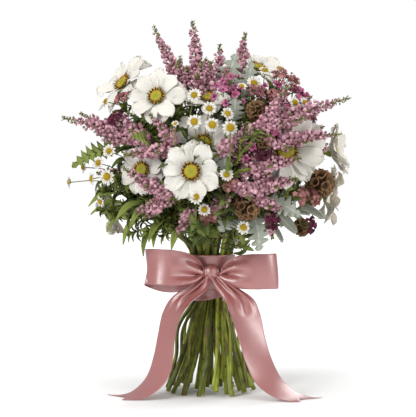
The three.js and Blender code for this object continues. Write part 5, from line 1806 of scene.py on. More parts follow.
# Shorter spikes that fill the gaps between a spray's own: each is a base, a tip and a radius.
HEATHER_FILL = {
    "top": [
        ((-30, -70, 328), (-35, -74, 358), 9), ((-22, -80, 324), (-25, -88, 350), 9),
        ((-2, -80, 326), (0, -84, 358), 9), ((8, -76, 324), (18, -78, 350), 8),
        ((-12, -86, 320), (-15, -98, 342), 9), ((-42, -76, 322), (-48, -84, 344), 8),
        ((-4, -22, 334), (-6, -16, 366), 9), ((-34, -24, 326), (-40, -20, 354), 8),
        ((26, -20, 330), (32, -14, 358), 8),
    ],
    "centre": [
        ((22, -108, 250), (36, -129, 280), 9), ((30, -110, 242), (48, -126, 258), 9),
        ((24, -108, 264), (38, -127, 292), 9), ((26, -100, 226), (36, -122, 244), 8),
    ],
    "left": [
        ((-62, -104, 270), (-84, -110, 284), 8), ((-40, -110, 268), (-52, -122, 288), 7),
        ((-60, -104, 226), (-78, -112, 234), 8),
    ],
    "left_low": [((-48, -98, 216), (-64, -104, 208), 8), ((-54, -94, 206), (-70, -100, 192), 8)],
    "right": [
        ((58, -112, 284), (82, -112, 300), 9), ((70, -112, 268), (100, -110, 272), 8),
        ((44, -114, 252), (64, -122, 262), 9),
    ],
    "right_low": [((44, -108, 216), (62, -106, 204), 9), ((44, -108, 232), (62, -114, 240), 9)],
    "back_right": [
        ((70, 70, 280), (84, 96, 304), 10), ((90, 50, 250), (114, 70, 254), 9),
        ((28, 12, 322), (36, 18, 354), 9), ((62, 20, 306), (78, 26, 332), 9),
        ((96, 6, 278), (126, 10, 292), 9), ((84, -16, 300), (110, -20, 324), 9),
        ((92, 44, 236), (120, 60, 240), 9),
    ],
    "back_left": [
        ((-50, 72, 292), (-66, 96, 316), 10), ((-86, 52, 270), (-110, 68, 284), 9),
        ((-34, 14, 322), (-42, 20, 354), 9), ((-70, 20, 306), (-88, 26, 330), 9),
        ((-98, -6, 272), (-128, -8, 286), 9), ((-100, 30, 236), (-130, 38, 240), 9),
        ((-20, 92, 290), (-24, 122, 306), 9),
    ],
}
# How deep in a spike its bells sit, as shares of its reach, and how often each depth is drawn
# Deeper bells are also painted darker, as shade in the spike's core.
BELL_DEPTHS = [0.55, 0.85, 1.0, 1.2]
DEPTH_CHANCES = [0.25, 0.3, 0.33, 0.12]
# Bells turn into green tips from this share of a spike's length, and all of them do this much further on.
GREEN_START = 0.72
GREEN_SPAN = 0.16
SPIKE_NEEDLES = 20
# The needle leaves along a branch: from and to which share of it, how many, and their length and width
BRANCH_NEEDLES = (0.3, 0.98, 40, (9, 2.2))
NEEDLE_SIZE = (5.5, 1.8, 5.5)
# A long spike is this much thicker than its solid. Beside it stand smaller ones, with this share of its
# radius and of the bells' size.
SPIKE_SWELL = 1.04
SIDE_SPIKES = 3
SIDE_RADIUS = 0.72
SIDE_BELLS = 0.9


def spike(base, tip, radius, bell_size, parts, lines, rng):
    """A stalk with whorls of bells, loose and full below, then small and close, and needles at its tip. They
    are added to the parts bells, tips and needles, and the stalk to the lines."""
    length, axes = np.linalg.norm(tip - base), pointing(tip - base)
    way = axes[:, 2]
    lines.append(([base, (base + tip) / 2, tip - way * 2], [1.0, 0.8, 0.35], 0.3))
    whorls = int(length / (0.98 * bell_size))
    for whorl in range(whorls):
        share = (whorl + 0.5) / whorls
        reach = radius * min(1, 0.7 + 2.5 * share) * (1 - 0.72 * share**1.2)
        size = bell_size * (1.1 - 0.62 * share)
        count = max(3, int(round(6.4 * reach / radius + 1.6)))
        for k in range(count):
            out = side_of(axes, 2 * math.pi * (k + 0.5 * (whorl % 2) + rng.uniform(-0.35, 0.35)) / count)
            depth = rng.choice(BELL_DEPTHS, p=DEPTH_CHANCES) + rng.uniform(-0.1, 0.1)
            start = base + way * (length * share * 0.97 + rng.uniform(-1, 1))
            start = start + out * max(0.3, reach * depth - 1.5 * size)
            heading = unit(out + way * rng.uniform(0.1, 1.1) + rng.normal(0, 0.2, 3))
            # The depth factor paints bells that sit deeper in the spike darker, as painted shade in its core.
            tone = rng.beta(2, 2.2) * (0.35 + 0.75 * depth) * (1.1 - 0.25 * share)
            kind = "tips" if rng.random() < (share - GREEN_START) / GREEN_SPAN else "bells"
            turned = pointing(heading, rng.uniform(0, 6))
            parts[kind].add(start, turned, size * rng.uniform(0.75, 1.15), float(np.clip(tone, 0, 1)))
    for k in range(SPIKE_NEEDLES):
        share = 0.5 + 0.5 * (k + 1) / SPIKE_NEEDLES
        out = side_of(axes, k * GOLDEN)
        x = unit(way + out * rng.uniform(0.35, 0.8))
        start = base + way * (length * share - 4.5)
        own = frame_at(np.cross(x, np.cross(out, x)), x)
        parts["needles"].add(start, own, NEEDLE_SIZE, rng.uniform(0.3, 1.0))


def filling_spikes(spray, paths, bell_size, parts, lines, rng):
    """The shorter spikes that fill a spray's gaps, on stalks from the nearest of its branches."""
    for base, tip, radius in HEATHER_FILL.get(spray, []):
        base, tip = vector(base), vector(tip)
        fork = nearest_path(paths, base, 3)[2]
        lines.append(([fork, (fork + base) / 2 - (0, 0, 3), base], [0.9] * 3, 0.2))
        spike(base, tip, radius, bell_size, parts, lines, rng)


def side_spikes(base, tip, radius, path, bell_size, parts, lines, rng):
    """The smaller spikes that leave a branch round the foot of its long spike."""
    length, axes = np.linalg.norm(tip - base), pointing(tip - base)
    for k in range(SIDE_SPIKES):
        out = side_of(axes, 2 * math.pi * k / SIDE_SPIKES + rng.uniform(-0.5, 0.5))
        start = base - axes[:, 2] * length * rng.uniform(0.05, 0.3)
        way = unit(axes[:, 2] + out * rng.uniform(0.45, 0.8))
        end = start + way * length * rng.uniform(0.38, 0.55)
        lines.append(([path[2] + (path[3] - path[2]) * 0.2, (path[3] + start) / 2, start], [0.8] * 3, 0.5))
        spike(start, end, SIDE_RADIUS * radius, SIDE_BELLS * bell_size, parts, lines, rng)


class BOUQUET_OT_heather(bpy.types.Operator):
    """Makes the heather spikes: bells packed round each stalk, green pointed tips and needle leaves below"""
    bl_idname = "bouquet.heather"
    bl_label = "Make Heather"

    def execute(self, context):
        sizes, colours = context.scene.bouquet_sizes, context.scene.bouquet_colours
        rng = np.random.default_rng(sizes.seed + 1)
        bell_size = sizes.floret_size / MM
        pink, olive = heather_material(colours), tip_material(colours)
        leaf, stem = leaf_material(colours), stem_material(colours)
        for spray, row in HEATHER_SPRAYS.items():
            name = "heather_" + spray
            lines, paths = plant_lines(name, HEATHER_FORK, rng)
            parts = {kind: Copies() for kind in ("bells", "tips", "needles")}
            filling_spikes(spray, paths, bell_size, parts, lines, rng)
            for (base, tip, radius), path in zip(row["spikes"], paths):
                base, tip = vector(base), vector(tip)
                spike(base, tip, SPIKE_SWELL * radius, bell_size, parts, lines, rng)
                side_spikes(base, tip, radius, path, bell_size, parts, lines, rng)
                leaves_along(parts["needles"], path, *BRANCH_NEEDLES, rng, spread=0.8, shade=(0.0, 0.7))
            added = bunches(name, paths, lines, colours, sizes.seed, rng)
            added += tufts(name, paths, lines, colours, sizes.seed, rng)
            meshes = [
                parts["bells"].mesh("floret", pink, sizes.seed, 0.2, 0.15),
                parts["tips"].mesh("bud", olive, sizes.seed),
                stalks(lines, stem),
                parts["needles"].mesh("needle", leaf, sizes.seed),
            ]
            add_piece("fine_" + name, meshes + added, [name], "heather")
        return {"FINISHED"}


# Small flowers


# How large a chamomile head is, as a share of the solids' stars, and how many florets its dome has
HEAD_SHARE = 0.86
DOME_FLORETS = 36
# A wax flower's rings of petals: how many, how far they are raised in degrees, and their reach as a share
WAX_RINGS = [(5, 26, 0.86), (5, 50, 0.6)]
# How many smaller flowers stand round a wax flower, and how many buds each flower has
WAX_SMALL = 4
WAX_BUDS = 4


def small_flowers(context, sprays, slot, back, make_head, leaf_size, slim, seed):
    """The pieces of every spray of a kind of small flower. make_head adds a head to the copies of each pair
    of a shape and a material, and back is how far in mm a head's middle is from where its stalk ends."""
    sizes, colours = context.scene.bouquet_sizes, context.scene.bouquet_colours
    rng = np.random.default_rng(sizes.seed + seed)
    leaf, stem = leaf_material(colours), stem_material(colours)
    for spray, row in sprays.items():
        name = slot + "_" + spray
        lines, paths = plant_lines(name, FLOWER_FORK, rng, slim)
        parts, leaves = {}, Copies()
        for (at, face, _, radius), path in zip(flower_places(row, back), paths):
            make_head(parts, at + face * back, pointing(face, rng.uniform(0, 6)), radius, rng)
            lines.append(([at, at + face * back * 0.5, at + face * (back + 0.2)],
                          [0.8, 0.12 * radius, 0.2 * radius], 0.5))
            leaves_along(leaves, path, 0.3, 0.75, 10, leaf_size, rng, shade=(0.0, 0.6))
        meshes = [
            copies.mesh(shape, material(colours), sizes.seed) for (shape, material), copies in parts.items()]
        meshes += bunches(name, paths, lines, colours, sizes.seed, rng)
        meshes += tufts(name, paths, lines, colours, sizes.seed, rng)
        meshes += [stalks(lines, stem), leaves.mesh("small", leaf, sizes.seed)]
        add_piece("fine_" + name, meshes, [name], slot)


def chamomile_head(parts, at, axes, radius, rng):
    """Petals in one ring that bend back a little, round a dome of packed florets."""
    petals = parts.setdefault(("ray", ray_material), Copies())
    domes = parts.setdefault(("dome", dome_material), Copies())
    florets = parts.setdefault(("disc floret", dome_material), Copies())
    count = 13 if radius > 7 else 9
    radius *= HEAD_SHARE
    droop = math.radians(rng.uniform(-14, 12))
    for k in range(count):
        turn = 2 * math.pi * (k + rng.uniform(-0.12, 0.12)) / count
        own = about(axes, turn, droop + math.radians(rng.uniform(-8, 8)))
        length = 0.74 * radius * rng.uniform(0.9, 1.04)
        petals.add(at + own[:, 0] * 0.28 * radius, own, (length, 0.4 * radius, length), rng.uniform(0.3, 1))
    dome = 0.45 * radius
    domes.add(at, axes, (dome, dome, dome), 0.3)
    size = (0.13 * dome + 0.2, 0.13 * dome + 0.2, 0.2 * dome)
    for k in range(DOME_FLORETS):
        share = math.sqrt((k + 0.5) / DOME_FLORETS)
        side = side_of(axes, k * GOLDEN)
        height = 0.85 * dome * math.sqrt(max(0, 1 - share**2))
        place = at + side * dome * share * 0.97 + axes[:, 2] * (height - 0.1)
        florets.add(place, pointing(axes[:, 2] + side * share * 1.4), size, rng.uniform(0.3, 1))


def wax_head(parts, at, axes, radius, rng):
    """A waxy flower among smaller ones, which stand a little behind it."""
    wax_flower(parts, at, axes, radius, rng, WAX_RINGS)
    for k in range(WAX_SMALL):
        turn = 2 * math.pi * k / WAX_SMALL + rng.uniform(-0.4, 0.4)
        side = side_of(axes, turn)
        start = at + side * radius * rng.uniform(1.3, 1.9) - axes[:, 2] * radius * rng.uniform(0.5, 1.1)
        small = radius * rng.uniform(0.6, 0.9)
        wax_flower(parts, start, pointing(axes[:, 2] + side * 0.7, turn), small, rng, WAX_RINGS[:1])


def wax_flower(parts, at, axes, radius, rng, rings):
    """Rings of five rounded waxy petals round a dark cup, and a few buds behind."""
    petals = parts.setdefault(("ray", wax_material), Copies())
    cups = parts.setdefault(("dome", wax_cup_material), Copies())
    buds = parts.setdefault(("bud", wax_material), Copies())
    for ring, (count, tilt, reach) in enumerate(rings):
        for k in range(count):
            turn = 2 * math.pi * (k + 0.5 * ring) / count
            own = about(axes, turn, math.radians(tilt + rng.uniform(-10, 10)))
            length = reach * radius * rng.uniform(0.9, 1.05)
            size = (length, 0.86 * reach * radius, length)
            petals.add(at + own[:, 0] * 0.1 * radius, own, size, rng.uniform(0.0, 1))
    cups.add(at, axes, (0.26 * radius, 0.26 * radius, 0.4 * radius), 0.4)
    for k in range(WAX_BUDS):
        side = side_of(axes, 2 * math.pi * k / WAX_BUDS + rng.uniform(-0.4, 0.4))
        start = at + side * radius * rng.uniform(0.6, 0.9) - axes[:, 2] * radius * rng.uniform(0.1, 0.5)
        size = 0.26 * radius * rng.uniform(0.8, 1.3)
        buds.add(start, pointing(axes[:, 2] + side), size, rng.uniform(0.0, 0.7))


class BOUQUET_OT_chamomile(bpy.types.Operator):
    """Makes the chamomile sprays: small white heads with yellow domes on thin stalks"""
    bl_idname = "bouquet.chamomile"
    bl_label = "Make Chamomile"

    def execute(self, context):
        small_flowers(context, CHAMOMILE_SPRAYS, "chamomile", CHAMOMILE_BACK, chamomile_head,
                      leaf_size=(19, 6), slim=0.65, seed=2)
        return {"FINISHED"}


class BOUQUET_OT_wax_flowers(bpy.types.Operator):
    """Makes the wax flower sprays: magenta and pink flowers with buds on thin stalks"""
    bl_idname = "bouquet.wax_flowers"
    bl_label = "Make Wax Flowers"

    def execute(self, context):
        small_flowers(context, WAX_SPRAYS, "wax_flower", WAX_BACK, wax_head,
                      leaf_size=(17, 5), slim=0.8, seed=3)
        return {"FINISHED"}


# Seed pods


# Pods larger than this, in mm, have more and relatively smaller cells than the small ones.
LARGE_POD = 8
STAMENS = 5


def add_pod(cells, cores, stamens, middle, radius, rng):
    """A round head: a dark core, papery cells all over it, and five pointed rays in each cell."""
    cores.add(middle, np.eye(3), radius, 0.3)
    count = 17 if radius > LARGE_POD else 11
    size = radius * (0.4 if radius > LARGE_POD else 0.48)
    ray_size = (0.5 * size, 0.5 * size, 0.72 * size)
    for k in range(count):
        height = 1 - 2 * (k + 0.5) / count
        level = math.sqrt(1 - height**2)
        out = side_of(np.eye(3), k * GOLDEN) * level + (0, 0, height)
        cells.add(middle + out * (0.62 * radius), pointing(out, k), size, rng.uniform(0.35, 1.0))
        for ray in range(STAMENS):
            own = about(pointing(out, k), 2 * math.pi * ray / STAMENS, 0.35)
            stamens.add(middle + out * (0.7 * radius), pointing(own[:, 0]), ray_size, rng.uniform(0.5, 1.0))


class BOUQUET_OT_seed_pods(bpy.types.Operator):
    """Makes the seed pods: round heads of dry papery cells with dark hollows"""
    bl_idname = "bouquet.seed_pods"
    bl_label = "Make Seed Pods"

    def execute(self, context):
        sizes, colours = context.scene.bouquet_sizes, context.scene.bouquet_colours
        rng = np.random.default_rng(sizes.seed + 4)
        paper, dark, stem = paper_material(colours), pod_core_material(colours), stem_material(colours)
        for spray, row in POD_SPRAYS.items():
            name = "seed_pods_" + spray
            lines, paths = plant_lines(name, POD_FORK, rng)
            cells, cores, stamens = Copies(), Copies(), Copies()
            for *middle, radius in row["pods"]:
                add_pod(cells, cores, stamens, vector(middle), radius, rng)
            added = bunches(name, paths, lines, colours, sizes.seed, rng)
            added += tufts(name, paths, lines, colours, sizes.seed, rng)
            meshes = [
                cells.mesh("cell", paper, sizes.seed, 0.12, 0.12),
                cores.mesh("pod core", dark, sizes.seed),
                stamens.mesh("spike", paper, sizes.seed),
                stalks(lines, stem),
            ]
            add_piece("fine_" + name, meshes + added, [name], "pod")
        return {"FINISHED"}


# Foliage


LEAF_MATERIALS = {"leaf": leaf_material, "silver": silver_material}
LEAF_SLOTS = {"leaf": "leaf", "silver": "silver_leaf"}
# The size and number of the small leaves along a stalk that ends in each kind of leaf
SMALL_LEAVES = {
    "oval": ((12, 4.2), 34), "round": ((15, 13), 10), "lobed": ((13, 6), 16), "fern": ((15, 4.5), 30),
}
# How far in mm a leaf starts behind its root in the solids, and how slim an oval leaf is beside its solid
LEAF_TUCK = 1.5
OVAL_SLIM = 0.7


class BOUQUET_OT_foliage(bpy.types.Operator):
    """Makes the silver and green foliage: lobed, round and oval leaves with smaller ones along the stalks"""
    bl_idname = "bouquet.foliage"
    bl_label = "Make Foliage"

    def execute(self, context):
        sizes, colours = context.scene.bouquet_sizes, context.scene.bouquet_colours
        rng = np.random.default_rng(sizes.seed + 5)
        stem = stem_material(colours)
        for spray, row in LEAF_SPRAYS.items():
            name = "foliage_" + spray
            material = LEAF_MATERIALS[row["colour"]](colours)
            lines, paths = plant_lines(name, LEAF_FORK, rng)
            kinds = {}
            for (kind, root, tip, width), path in zip(row["leaves"], paths):
                root, tip = vector(root), vector(tip)
                up = unit(np.array([root[0], root[1], 40.0]))
                way = unit(tip - root)
                length = np.linalg.norm(tip - root) + LEAF_TUCK
                size = (length, width * (OVAL_SLIM if kind == "oval" else 1), length)
                axes = frame_at(up - way * up.dot(way), way)
                leaves = kinds.setdefault(kind, Copies())
                leaves.add(root - way * LEAF_TUCK, axes, size, rng.uniform(0.45, 1.0))
                small = kinds.setdefault("round" if kind == "round" else "small", Copies())
                size, count = SMALL_LEAVES[kind]
                leaves_along(small, path, 0.25, 1.0, count, size, rng, shade=(0.0, 0.9))
            meshes = tufts(name, paths, lines, colours, sizes.seed, rng)
            meshes += [copies.mesh(kind, material, sizes.seed, 0.12) for kind, copies in kinds.items()]
            add_piece("fine_" + name, [*meshes, stalks(lines, stem)], [name], LEAF_SLOTS[row["colour"]])
        return {"FINISHED"}


# Ribbon


# The middle of the bow's knot, and half its size
KNOT = vector((0, -29.9, 132))
KNOT_HALF = vector((9.5, 4.6, 8))
KNOT_ROWS = 48
KNOT_COLUMNS = 29
# The middle line of the right loop: places, and the share of its width that the ribbon is gathered to there
LOOP_PATH = [
    (9.9, -31.5, 132, 0.26), (17, -36, 134, 0.66), (29, -42, 137, 0.92), (45, -45, 139, 1),
    (60, -42, 139.5, 1), (69, -35, 139, 1), (70, -27, 138, 1), (62, -21, 136.5, 1), (46, -20, 135, 0.97),
    (30, -24, 133.5, 0.74), (18, -27, 132.5, 0.42), (9.9, -28, 132, 0.26),
]
# By side, -1 the left: how much of that line's rise above the knot a loop has, and how far its back sags
LOOP_RISES = {-1: (1, 8), 1: (0.3, 1)}
LOOP_ROWS = 64
LOOP_COLUMNS = 41
LOOP_FOLDS = 2
LOOP_CURL = 2.2
LOOP_WAVE = 2.2
# The tails' middle lines: places, the share of the width, and the azimuth of the width in degrees
TAIL_PATHS = {
    "left": [
        (-4, -32, 129, 0.26, 0), (-15, -38, 117, 0.63, -25), (-31, -42, 105, 0.9, -45),
        (-40, -45, 88, 1, -57), (-45, -49, 66, 1, -60), (-50, -52, 44, 1, -56), (-59, -54, 22, 1, -54),
        (-75, -54, 7, 1, -58), (-92, -52, 1.2, 1, -62), (-103, -50, 1, 1, -62),
    ],
    "right": [
        (4, -32, 129, 0.26, 0), (16, -38, 118, 0.63, 10), (30, -43, 104, 0.9, 24), (36, -47, 86, 1, 34),
        (42, -52, 64, 1, 41), (51, -56, 41, 1, 41), (63, -60, 20, 1, 40), (79, -63, 7, 1, 42),
        (95, -65, 1.2, 1, 46), (106, -66, 1, 1, 46),
    ],
}
# Where along its curve each tail's curl starts, as an angle
TAIL_PHASES = {"left": 0.4, "right": 0.9}
TAIL_ROWS = 72
TAIL_COLUMNS = 37
TAIL_FOLDS = 3
TAIL_CURL = 3.2
TAIL_CUT = 12
TAIL_LOWEST = 0.5
# A gathered ribbon's width is never under this share of what it was cut to.
LEAST_SHARE = 0.2
# The wrap: how many turns it has, where they start, and how far its inside in the solids is from the middles
# of the outermost stems, which is a stem's radius and a gap
WRAP_TURNS = 2.2
WRAP_START = 0.6
WRAP_CLEAR = 2.4 * 1.08 + 0.6
WRAP_ROWS = 150
WRAP_COLUMNS = 21
WRAP_FLARE = 0.013
# Where along the wrap it climbs to its upper turn, and how suddenly
CLIMB_MIDDLE = 0.47
CLIMB_RATE = 26
PLEAT_STEPS = 600


def pleated(share, count, folds, drift):
    """Across a ribbon of unit width gathered to a share of it, how far across and how far out each spot lies.
    The cloth's own width is kept, because it runs in folds, which are unequal."""
    if share > 0.995:
        return np.linspace(-0.5, 0.5, count), np.zeros(count)
    spots = np.linspace(0, 1, PLEAT_STEPS + 1)
    uneven = 1 + 0.4 * np.sin(2 * np.pi * 1.4 * spots + 2.3 * drift + 1)
    wave = np.sin(2 * np.pi * folds * spots + drift) * uneven
    low, high = 0.0, 2.4
    for _ in range(24):
        swing = (low + high) / 2
        if np.cos(swing * wave).mean() > share:
            low = swing
        else:
            high = swing
    across = np.concatenate([[0], np.cumsum(np.cos(swing * wave[:-1]))]) / PLEAT_STEPS
    out = np.concatenate([[0], np.cumsum(np.sin(swing * wave[:-1]))]) / PLEAT_STEPS
    out -= np.linspace(out[0], out[-1], len(out))
    pick = np.linspace(0, PLEAT_STEPS, count).astype(int)
    across, out = across[pick], out[pick]
    return across - (across[0] + across[-1]) / 2, out - out.mean()


def unit_rows(rows):
    return rows / np.linalg.norm(rows, axis=1, keepdims=True)


def ribbon_grid(centres, acrosses, outs, shares, width, columns, folds, curls, drift):
    """Rows across a ribbon along a path. Each row is gathered to its share of the width, in folds, and its
    edges curl away from its middle by so many millimetres."""
    grid = np.empty((len(centres), columns, 3))
    for i, (centre, across, out, share) in enumerate(zip(centres, acrosses, outs, shares)):
        x, z = pleated(share, columns, folds, drift)
        deep = z * width - curls[i] * (2 * x) ** 2
        grid[i] = centre + np.outer(x * width, across) + np.outer(deep, out)
    return grid


def v_cut(grid, depth):
    """Draws a ribbon's rows back along it, more in the middle, so that its end has a V-cut."""
    columns = grid.shape[1]
    steps = np.linalg.norm(np.diff(grid[:, columns // 2], axis=0), axis=1)
    left = np.concatenate([np.cumsum(steps[::-1])[::-1], [0]])
    along = 1 - left / left[0]
    ends = 1 - depth / left[0] * (1 - np.abs(np.linspace(-1, 1, columns)))
    for j, end in enumerate(ends):
        for axis in range(3):
            grid[:, j, axis] = np.interp(along * end, along, grid[:, j, axis])


def loop_grid(side, width):
    """A loop of the bow: out from the knot in front and back to it behind, with a curled and waving edge."""
    lift, sag = LOOP_RISES[side]
    back = len(LOOP_PATH) // 2
    path = []
    for i, (x, y, z, share) in enumerate(LOOP_PATH):
        droop = -sag * math.sin(math.pi * (i - back) / (back - 1)) ** 2 if i > back else 0
        path.append((side * x, y, KNOT[2] + (z - KNOT[2]) * lift + droop, share))
    rows = smooth_path(path, LOOP_ROWS)
    along = unit_rows(np.gradient(rows[:, :3], axis=0))
    across = unit_rows(np.array([0, 0, 1]) - along * along[:, 2:3])
    out = np.cross(along, across)
    shares = np.clip(rows[:, 3], LEAST_SHARE, 1)
    spots = np.linspace(0, 1, LOOP_ROWS)
    curls = LOOP_CURL * np.sin(2 * math.pi * spots) ** 2 * np.where(shares > 0.9, 1, 0.3)
    grid = ribbon_grid(rows[:, :3], across, out, shares, width, LOOP_COLUMNS, LOOP_FOLDS, curls, 0.9 * side)
    spots = spots[:, None]
    slant = np.linspace(-1, 1, LOOP_COLUMNS)[None, :]
    waves = LOOP_WAVE * np.sin(5 * math.pi * spots + 1.1 * slant + 0.6) * np.sin(math.pi * spots) ** 2
    return grid + waves[..., None] * out[:, None, :]


def tail_grid(side, width):
    """A tail of the bow: down beside the stems and out along the floor, to a V-cut end."""
    rows = smooth_path(TAIL_PATHS[side], TAIL_ROWS)
    along = unit_rows(np.gradient(rows[:, :3], axis=0))
    plan = np.radians(rows[:, 4])
    across = np.column_stack([np.cos(plan), np.sin(plan), np.zeros(TAIL_ROWS)])
    out = unit_rows(np.cross(along, across))
    shares = np.clip(rows[:, 3], LEAST_SHARE, 1)
    spots = np.linspace(0, 1, TAIL_ROWS)
    curls = TAIL_CURL * np.sin(math.pi * spots) ** 0.7 * np.cos(2.2 * math.pi * spots + TAIL_PHASES[side])
    grid = ribbon_grid(rows[:, :3], across, out, shares, width, TAIL_COLUMNS, TAIL_FOLDS, curls, 0.7)
    v_cut(grid, TAIL_CUT)
    grid[..., 2] = np.maximum(grid[..., 2], TAIL_LOWEST)
    return grid


def wrap_grid(width):
    """The ribbon wound round the stems: a turn below, then a turn higher up that laps over it."""
    above = (bundle_scale(STEM_TOP) - 1) / (STEM_TOP - BINDING_HEIGHT)
    grid = np.empty((WRAP_ROWS, WRAP_COLUMNS, 3))
    for i, share in enumerate(np.linspace(0, 1, WRAP_ROWS)):
        turn = share * WRAP_TURNS * 2 * math.pi + WRAP_START
        climb = 1 / (1 + math.exp(-(share - CLIMB_MIDDLE) * CLIMB_RATE))
        low = WRAP_BOTTOM + (WRAP_TOP - WRAP_BOTTOM - width) * climb
        lap = 0.35 + 0.75 * share * WRAP_TURNS / 2
        for j, spot in enumerate(np.linspace(0, 1, WRAP_COLUMNS)):
            z = low + width * spot
            flare = WRAP_FLARE * (BINDING_HEIGHT - z) if z < BINDING_HEIGHT else above * (z - BINDING_HEIGHT)
            inner = WRAP_CLEAR + OUTER_RING * RING_STEP * (1 + flare)
            crease = 0.5 * math.sin(spot * 17 + 1.3 * math.sin(turn) + 0.5 * math.sin(3 * turn))
            crease *= math.sin(math.pi * spot) * (0.7 + 0.5 * math.sin(1.7 * turn + 1))
            r = inner + lap + crease
            grid[i, j] = (r * math.sin(turn), -r * math.cos(turn), z)
    return grid


def knot_grid(width):
    """The short stretch of ribbon over the knot: gathered across it and wound round it."""
    grid = np.empty((KNOT_ROWS, KNOT_COLUMNS, 3))
    half, deep_half, high_half = KNOT_HALF
    across, out = pleated(2 * 0.9 * half / width, KNOT_COLUMNS, 5, 2.6)
    for i, share in enumerate(np.linspace(0, 1, KNOT_ROWS)):
        turn = share * 2 * math.pi * 0.97 + math.pi
        for j in range(KNOT_COLUMNS):
            round_off = math.sqrt(max(0.05, 1 - (0.9 * across[j] * width / half) ** 2))
            fold = out[j] * width * 0.3
            grid[i, j] = KNOT + (across[j] * width, -(deep_half * round_off + fold) * math.cos(turn),
                                 (high_half * round_off + fold) * math.sin(turn))
    return grid


def grid_area(grid):
    a, b = grid[1:, :-1] - grid[:-1, :-1], grid[:-1, 1:] - grid[:-1, :-1]
    c, d = grid[:-1, 1:] - grid[1:, 1:], grid[1:, :-1] - grid[1:, 1:]
    return (np.linalg.norm(np.cross(a, b), axis=2).sum() + np.linalg.norm(np.cross(c, d), axis=2).sum()) / 2


def mean_length(grid, axis):
    """The mean of a grid's lines along its rows, for axis 1, or along its columns, for axis 0."""
    return np.linalg.norm(np.diff(grid, axis=axis), axis=2).sum(axis=axis).mean()


def add_cloth(name, grid, node, sizes, material, width):
    """A sheet of satin. Its flat size, the width that it was cut to in mm and its own length, and its area
    are worked out but not kept.
    """
    rows, columns = grid.shape[:2]
    points = blade_points(grid, sizes.ribbon_thickness / MM) * MM
    faces, uvs = blade_faces(rows, columns)
    mesh = mesh_of(name, points, faces, np.array(uvs) * (1, 4), material, blade_smooth(rows, columns))
    piece = add_piece(name, [mesh], [node], "satin")
    flat = (width, mean_length(grid, 0))
    area = min(grid_area(grid), flat[0] * flat[1]) * MM * MM


class BOUQUET_OT_ribbon(bpy.types.Operator):
    """Makes the satin ribbon: the wrap round the stems, the knot, two loops and two tails, all of cloth"""
    bl_idname = "bouquet.ribbon"
    bl_label = "Make Ribbon"

    def execute(self, context):
        sizes, colours = context.scene.bouquet_sizes, context.scene.bouquet_colours
        satin = satin_material(colours)
        width = sizes.ribbon_width / MM
        add_cloth("satin_wrap", wrap_grid(width), "ribbon_wrap", sizes,
                  satin, width)
        for side, name in ((-1, "left"), (1, "right")):
            add_cloth("satin_loop_" + name, loop_grid(side, width), "bow_loop_" + name,
                      sizes, satin, width)
        knot = knot_grid(width)
        add_cloth("satin_knot", knot, "bow_knot_and_tails", sizes, satin,
                  mean_length(knot, 1))
        for name in TAIL_PATHS:
            add_cloth("satin_tail_" + name, tail_grid(name, width), "bow_knot_and_tails",
                      sizes, satin, width)
        return {"FINISHED"}


# Stage, in metres


# How strong the sky's light is, and how bright the sky shows
SKY_LIGHT = 0.56
SKY_SHOWN = 1.0
WHITE = solid((1.0, 1.0, 1.0))
# The floor's corners, its colours near and far, and between which distances from the middle it fades to white
FLOOR_CORNERS = [(-8.0, -4.0, 0.0), (8.0, -4.0, 0.0), (8.0, 14.0, 0.0), (-8.0, 14.0, 0.0)]
FLOOR_NEAR = solid((0.95, 0.95, 0.95))
FLOOR_FAR = solid((0.3, 0.3, 0.3))
FLOOR_FADE = (0.3, 1.5)
# Area lights are (name, place, size, power), in metres and watts. All of them face one place.
LIGHTS = [
    ("top", (-0.2, -0.4, 2.0), 1.2, 15.0),
    ("key", (-1.4, -1.6, 0.9), 0.8, 26.0),
    ("fill", (1.8, -1.0, 0.5), 0.8, 17.0),
    ("rim", (0.9, 1.4, 1.0), 0.8, 13.0),
]
LIT_PLACE = Vector((0, 0, 0.2))
# The camera: its lens and sensor in mm, the place that it looks at, how far it is from there, and the degrees
# that it looks down
SENSOR_WIDTH = 36.0
LENS = 117.7
CAMERA_TARGET = np.array([-0.0033, 0.0, 0.20075])
CAMERA_DISTANCE = 1.5
CAMERA_RISE = 1.5
CLIP_START = 0.05
CLIP_END = 30.0


def aimed(item, place, way):
    """Puts a light or a camera at a place, looking a way."""
    item.location = place
    item.rotation_mode = "QUATERNION"
    item.rotation_quaternion = way.to_track_quat("-Z", "Y")


def add_floor():
    material, tree, shader = bare_material("floor")
    place = add_node(tree, "ShaderNodeTexCoord").outputs["Object"]
    far = add_node(tree, "ShaderNodeVectorMath", {0: place}, operation="LENGTH").outputs["Value"]
    fade = eased(tree, far, *FLOOR_FADE)
    seen = add_node(tree, "ShaderNodeLightPath").outputs["Is Camera Ray"]
    feed(tree, shader, {
        "Base Color": mix_colour(tree, fade, FLOOR_NEAR, FLOOR_FAR),
        "Emission Color": WHITE,
        "Emission Strength": maths(tree, "MULTIPLY", fade, seen),
        "Roughness": 1.0,
        "Specular IOR Level": 0.0,
    })
    floor = link("floor", mesh_of("floor", FLOOR_CORNERS, [(0, 1, 2, 3)], material=material))


def add_sky(scene):
    world = bpy.data.worlds.new("studio")
    world.use_nodes = True
    tree = world.node_tree
    seen = add_node(tree, "ShaderNodeLightPath").outputs["Is Camera Ray"]
    level = add_node(tree, "ShaderNodeMapRange", {"Value": seen, "To Min": SKY_LIGHT, "To Max": SKY_SHOWN})
    feed(tree, tree.nodes["Background"], {"Color": WHITE, "Strength": level})
    scene.world = world
    scene.view_settings.view_transform = "Standard"


def add_light(scene, name, place, size, power):
    light = bpy.data.lights.new(name, "AREA")
    light.size, light.energy = size, power
    lamp = bpy.data.objects.new(name, light)
    scene.collection.objects.link(lamp)
    aimed(lamp, place, LIT_PLACE - Vector(place))


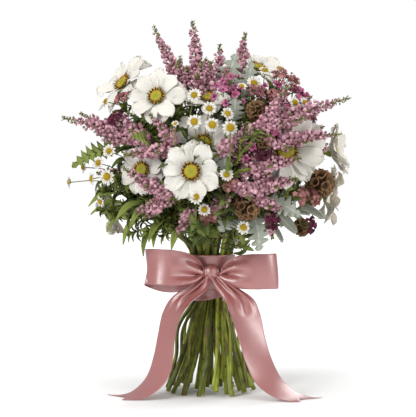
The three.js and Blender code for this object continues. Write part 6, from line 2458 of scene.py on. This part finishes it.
def add_camera(scene):
    camera = bpy.data.objects.new("camera", bpy.data.cameras.new("camera"))
    scene.collection.objects.link(camera)
    camera.data.sensor_width = SENSOR_WIDTH
    camera.data.lens = LENS
    camera.data.clip_start, camera.data.clip_end = CLIP_START, CLIP_END
    rise = math.radians(CAMERA_RISE)
    back = np.array([0, -math.cos(rise), math.sin(rise)])
    aimed(camera, CAMERA_TARGET + back * CAMERA_DISTANCE, Vector(-back))
    scene.camera = camera


class BOUQUET_OT_stage(bpy.types.Operator):
    """Sets the pale floor, the soft lights and the camera"""
    bl_idname = "bouquet.stage"
    bl_label = "Set Stage"

    def execute(self, context):
        add_floor()
        add_sky(context.scene)
        for light in LIGHTS:
            add_light(context.scene, *light)
        add_camera(context.scene)
        return {"FINISHED"}


OPERATORS = [
    BOUQUET_OT_daisies, BOUQUET_OT_heather, BOUQUET_OT_chamomile, BOUQUET_OT_wax_flowers,
    BOUQUET_OT_seed_pods, BOUQUET_OT_foliage, BOUQUET_OT_ribbon, BOUQUET_OT_stage,
]


class BOUQUET_PT_panel(bpy.types.Panel):
    """The bouquet's sizes, colours and steps in the sidebar"""
    bl_idname = "BOUQUET_PT_panel"
    bl_label = "Bouquet"
    bl_space_type = "VIEW_3D"
    bl_region_type = "UI"
    bl_category = "Bouquet"

    def draw(self, context):
        layout = self.layout
        for group in (context.scene.bouquet_sizes, context.scene.bouquet_colours):
            box = layout.box()
            for name in group.__annotations__:
                box.prop(group, name)
        for operator in OPERATORS:
            layout.operator(operator.bl_idname)


CLASSES = [BouquetSizes, BouquetColours, *OPERATORS, BOUQUET_PT_panel]


def register():
    for each in CLASSES:
        bpy.utils.register_class(each)
    bpy.types.Scene.bouquet_sizes = bpy.props.PointerProperty(type=BouquetSizes)
    bpy.types.Scene.bouquet_colours = bpy.props.PointerProperty(type=BouquetColours)


def unregister():
    del bpy.types.Scene.bouquet_colours
    del bpy.types.Scene.bouquet_sizes
    for each in reversed(CLASSES):
        bpy.utils.unregister_class(each)


def main():
    register()
    for operator in OPERATORS:
        group, _, name = operator.bl_idname.partition(".")
        getattr(getattr(bpy.ops, group), name)()


if __name__ == "__main__":
    main()
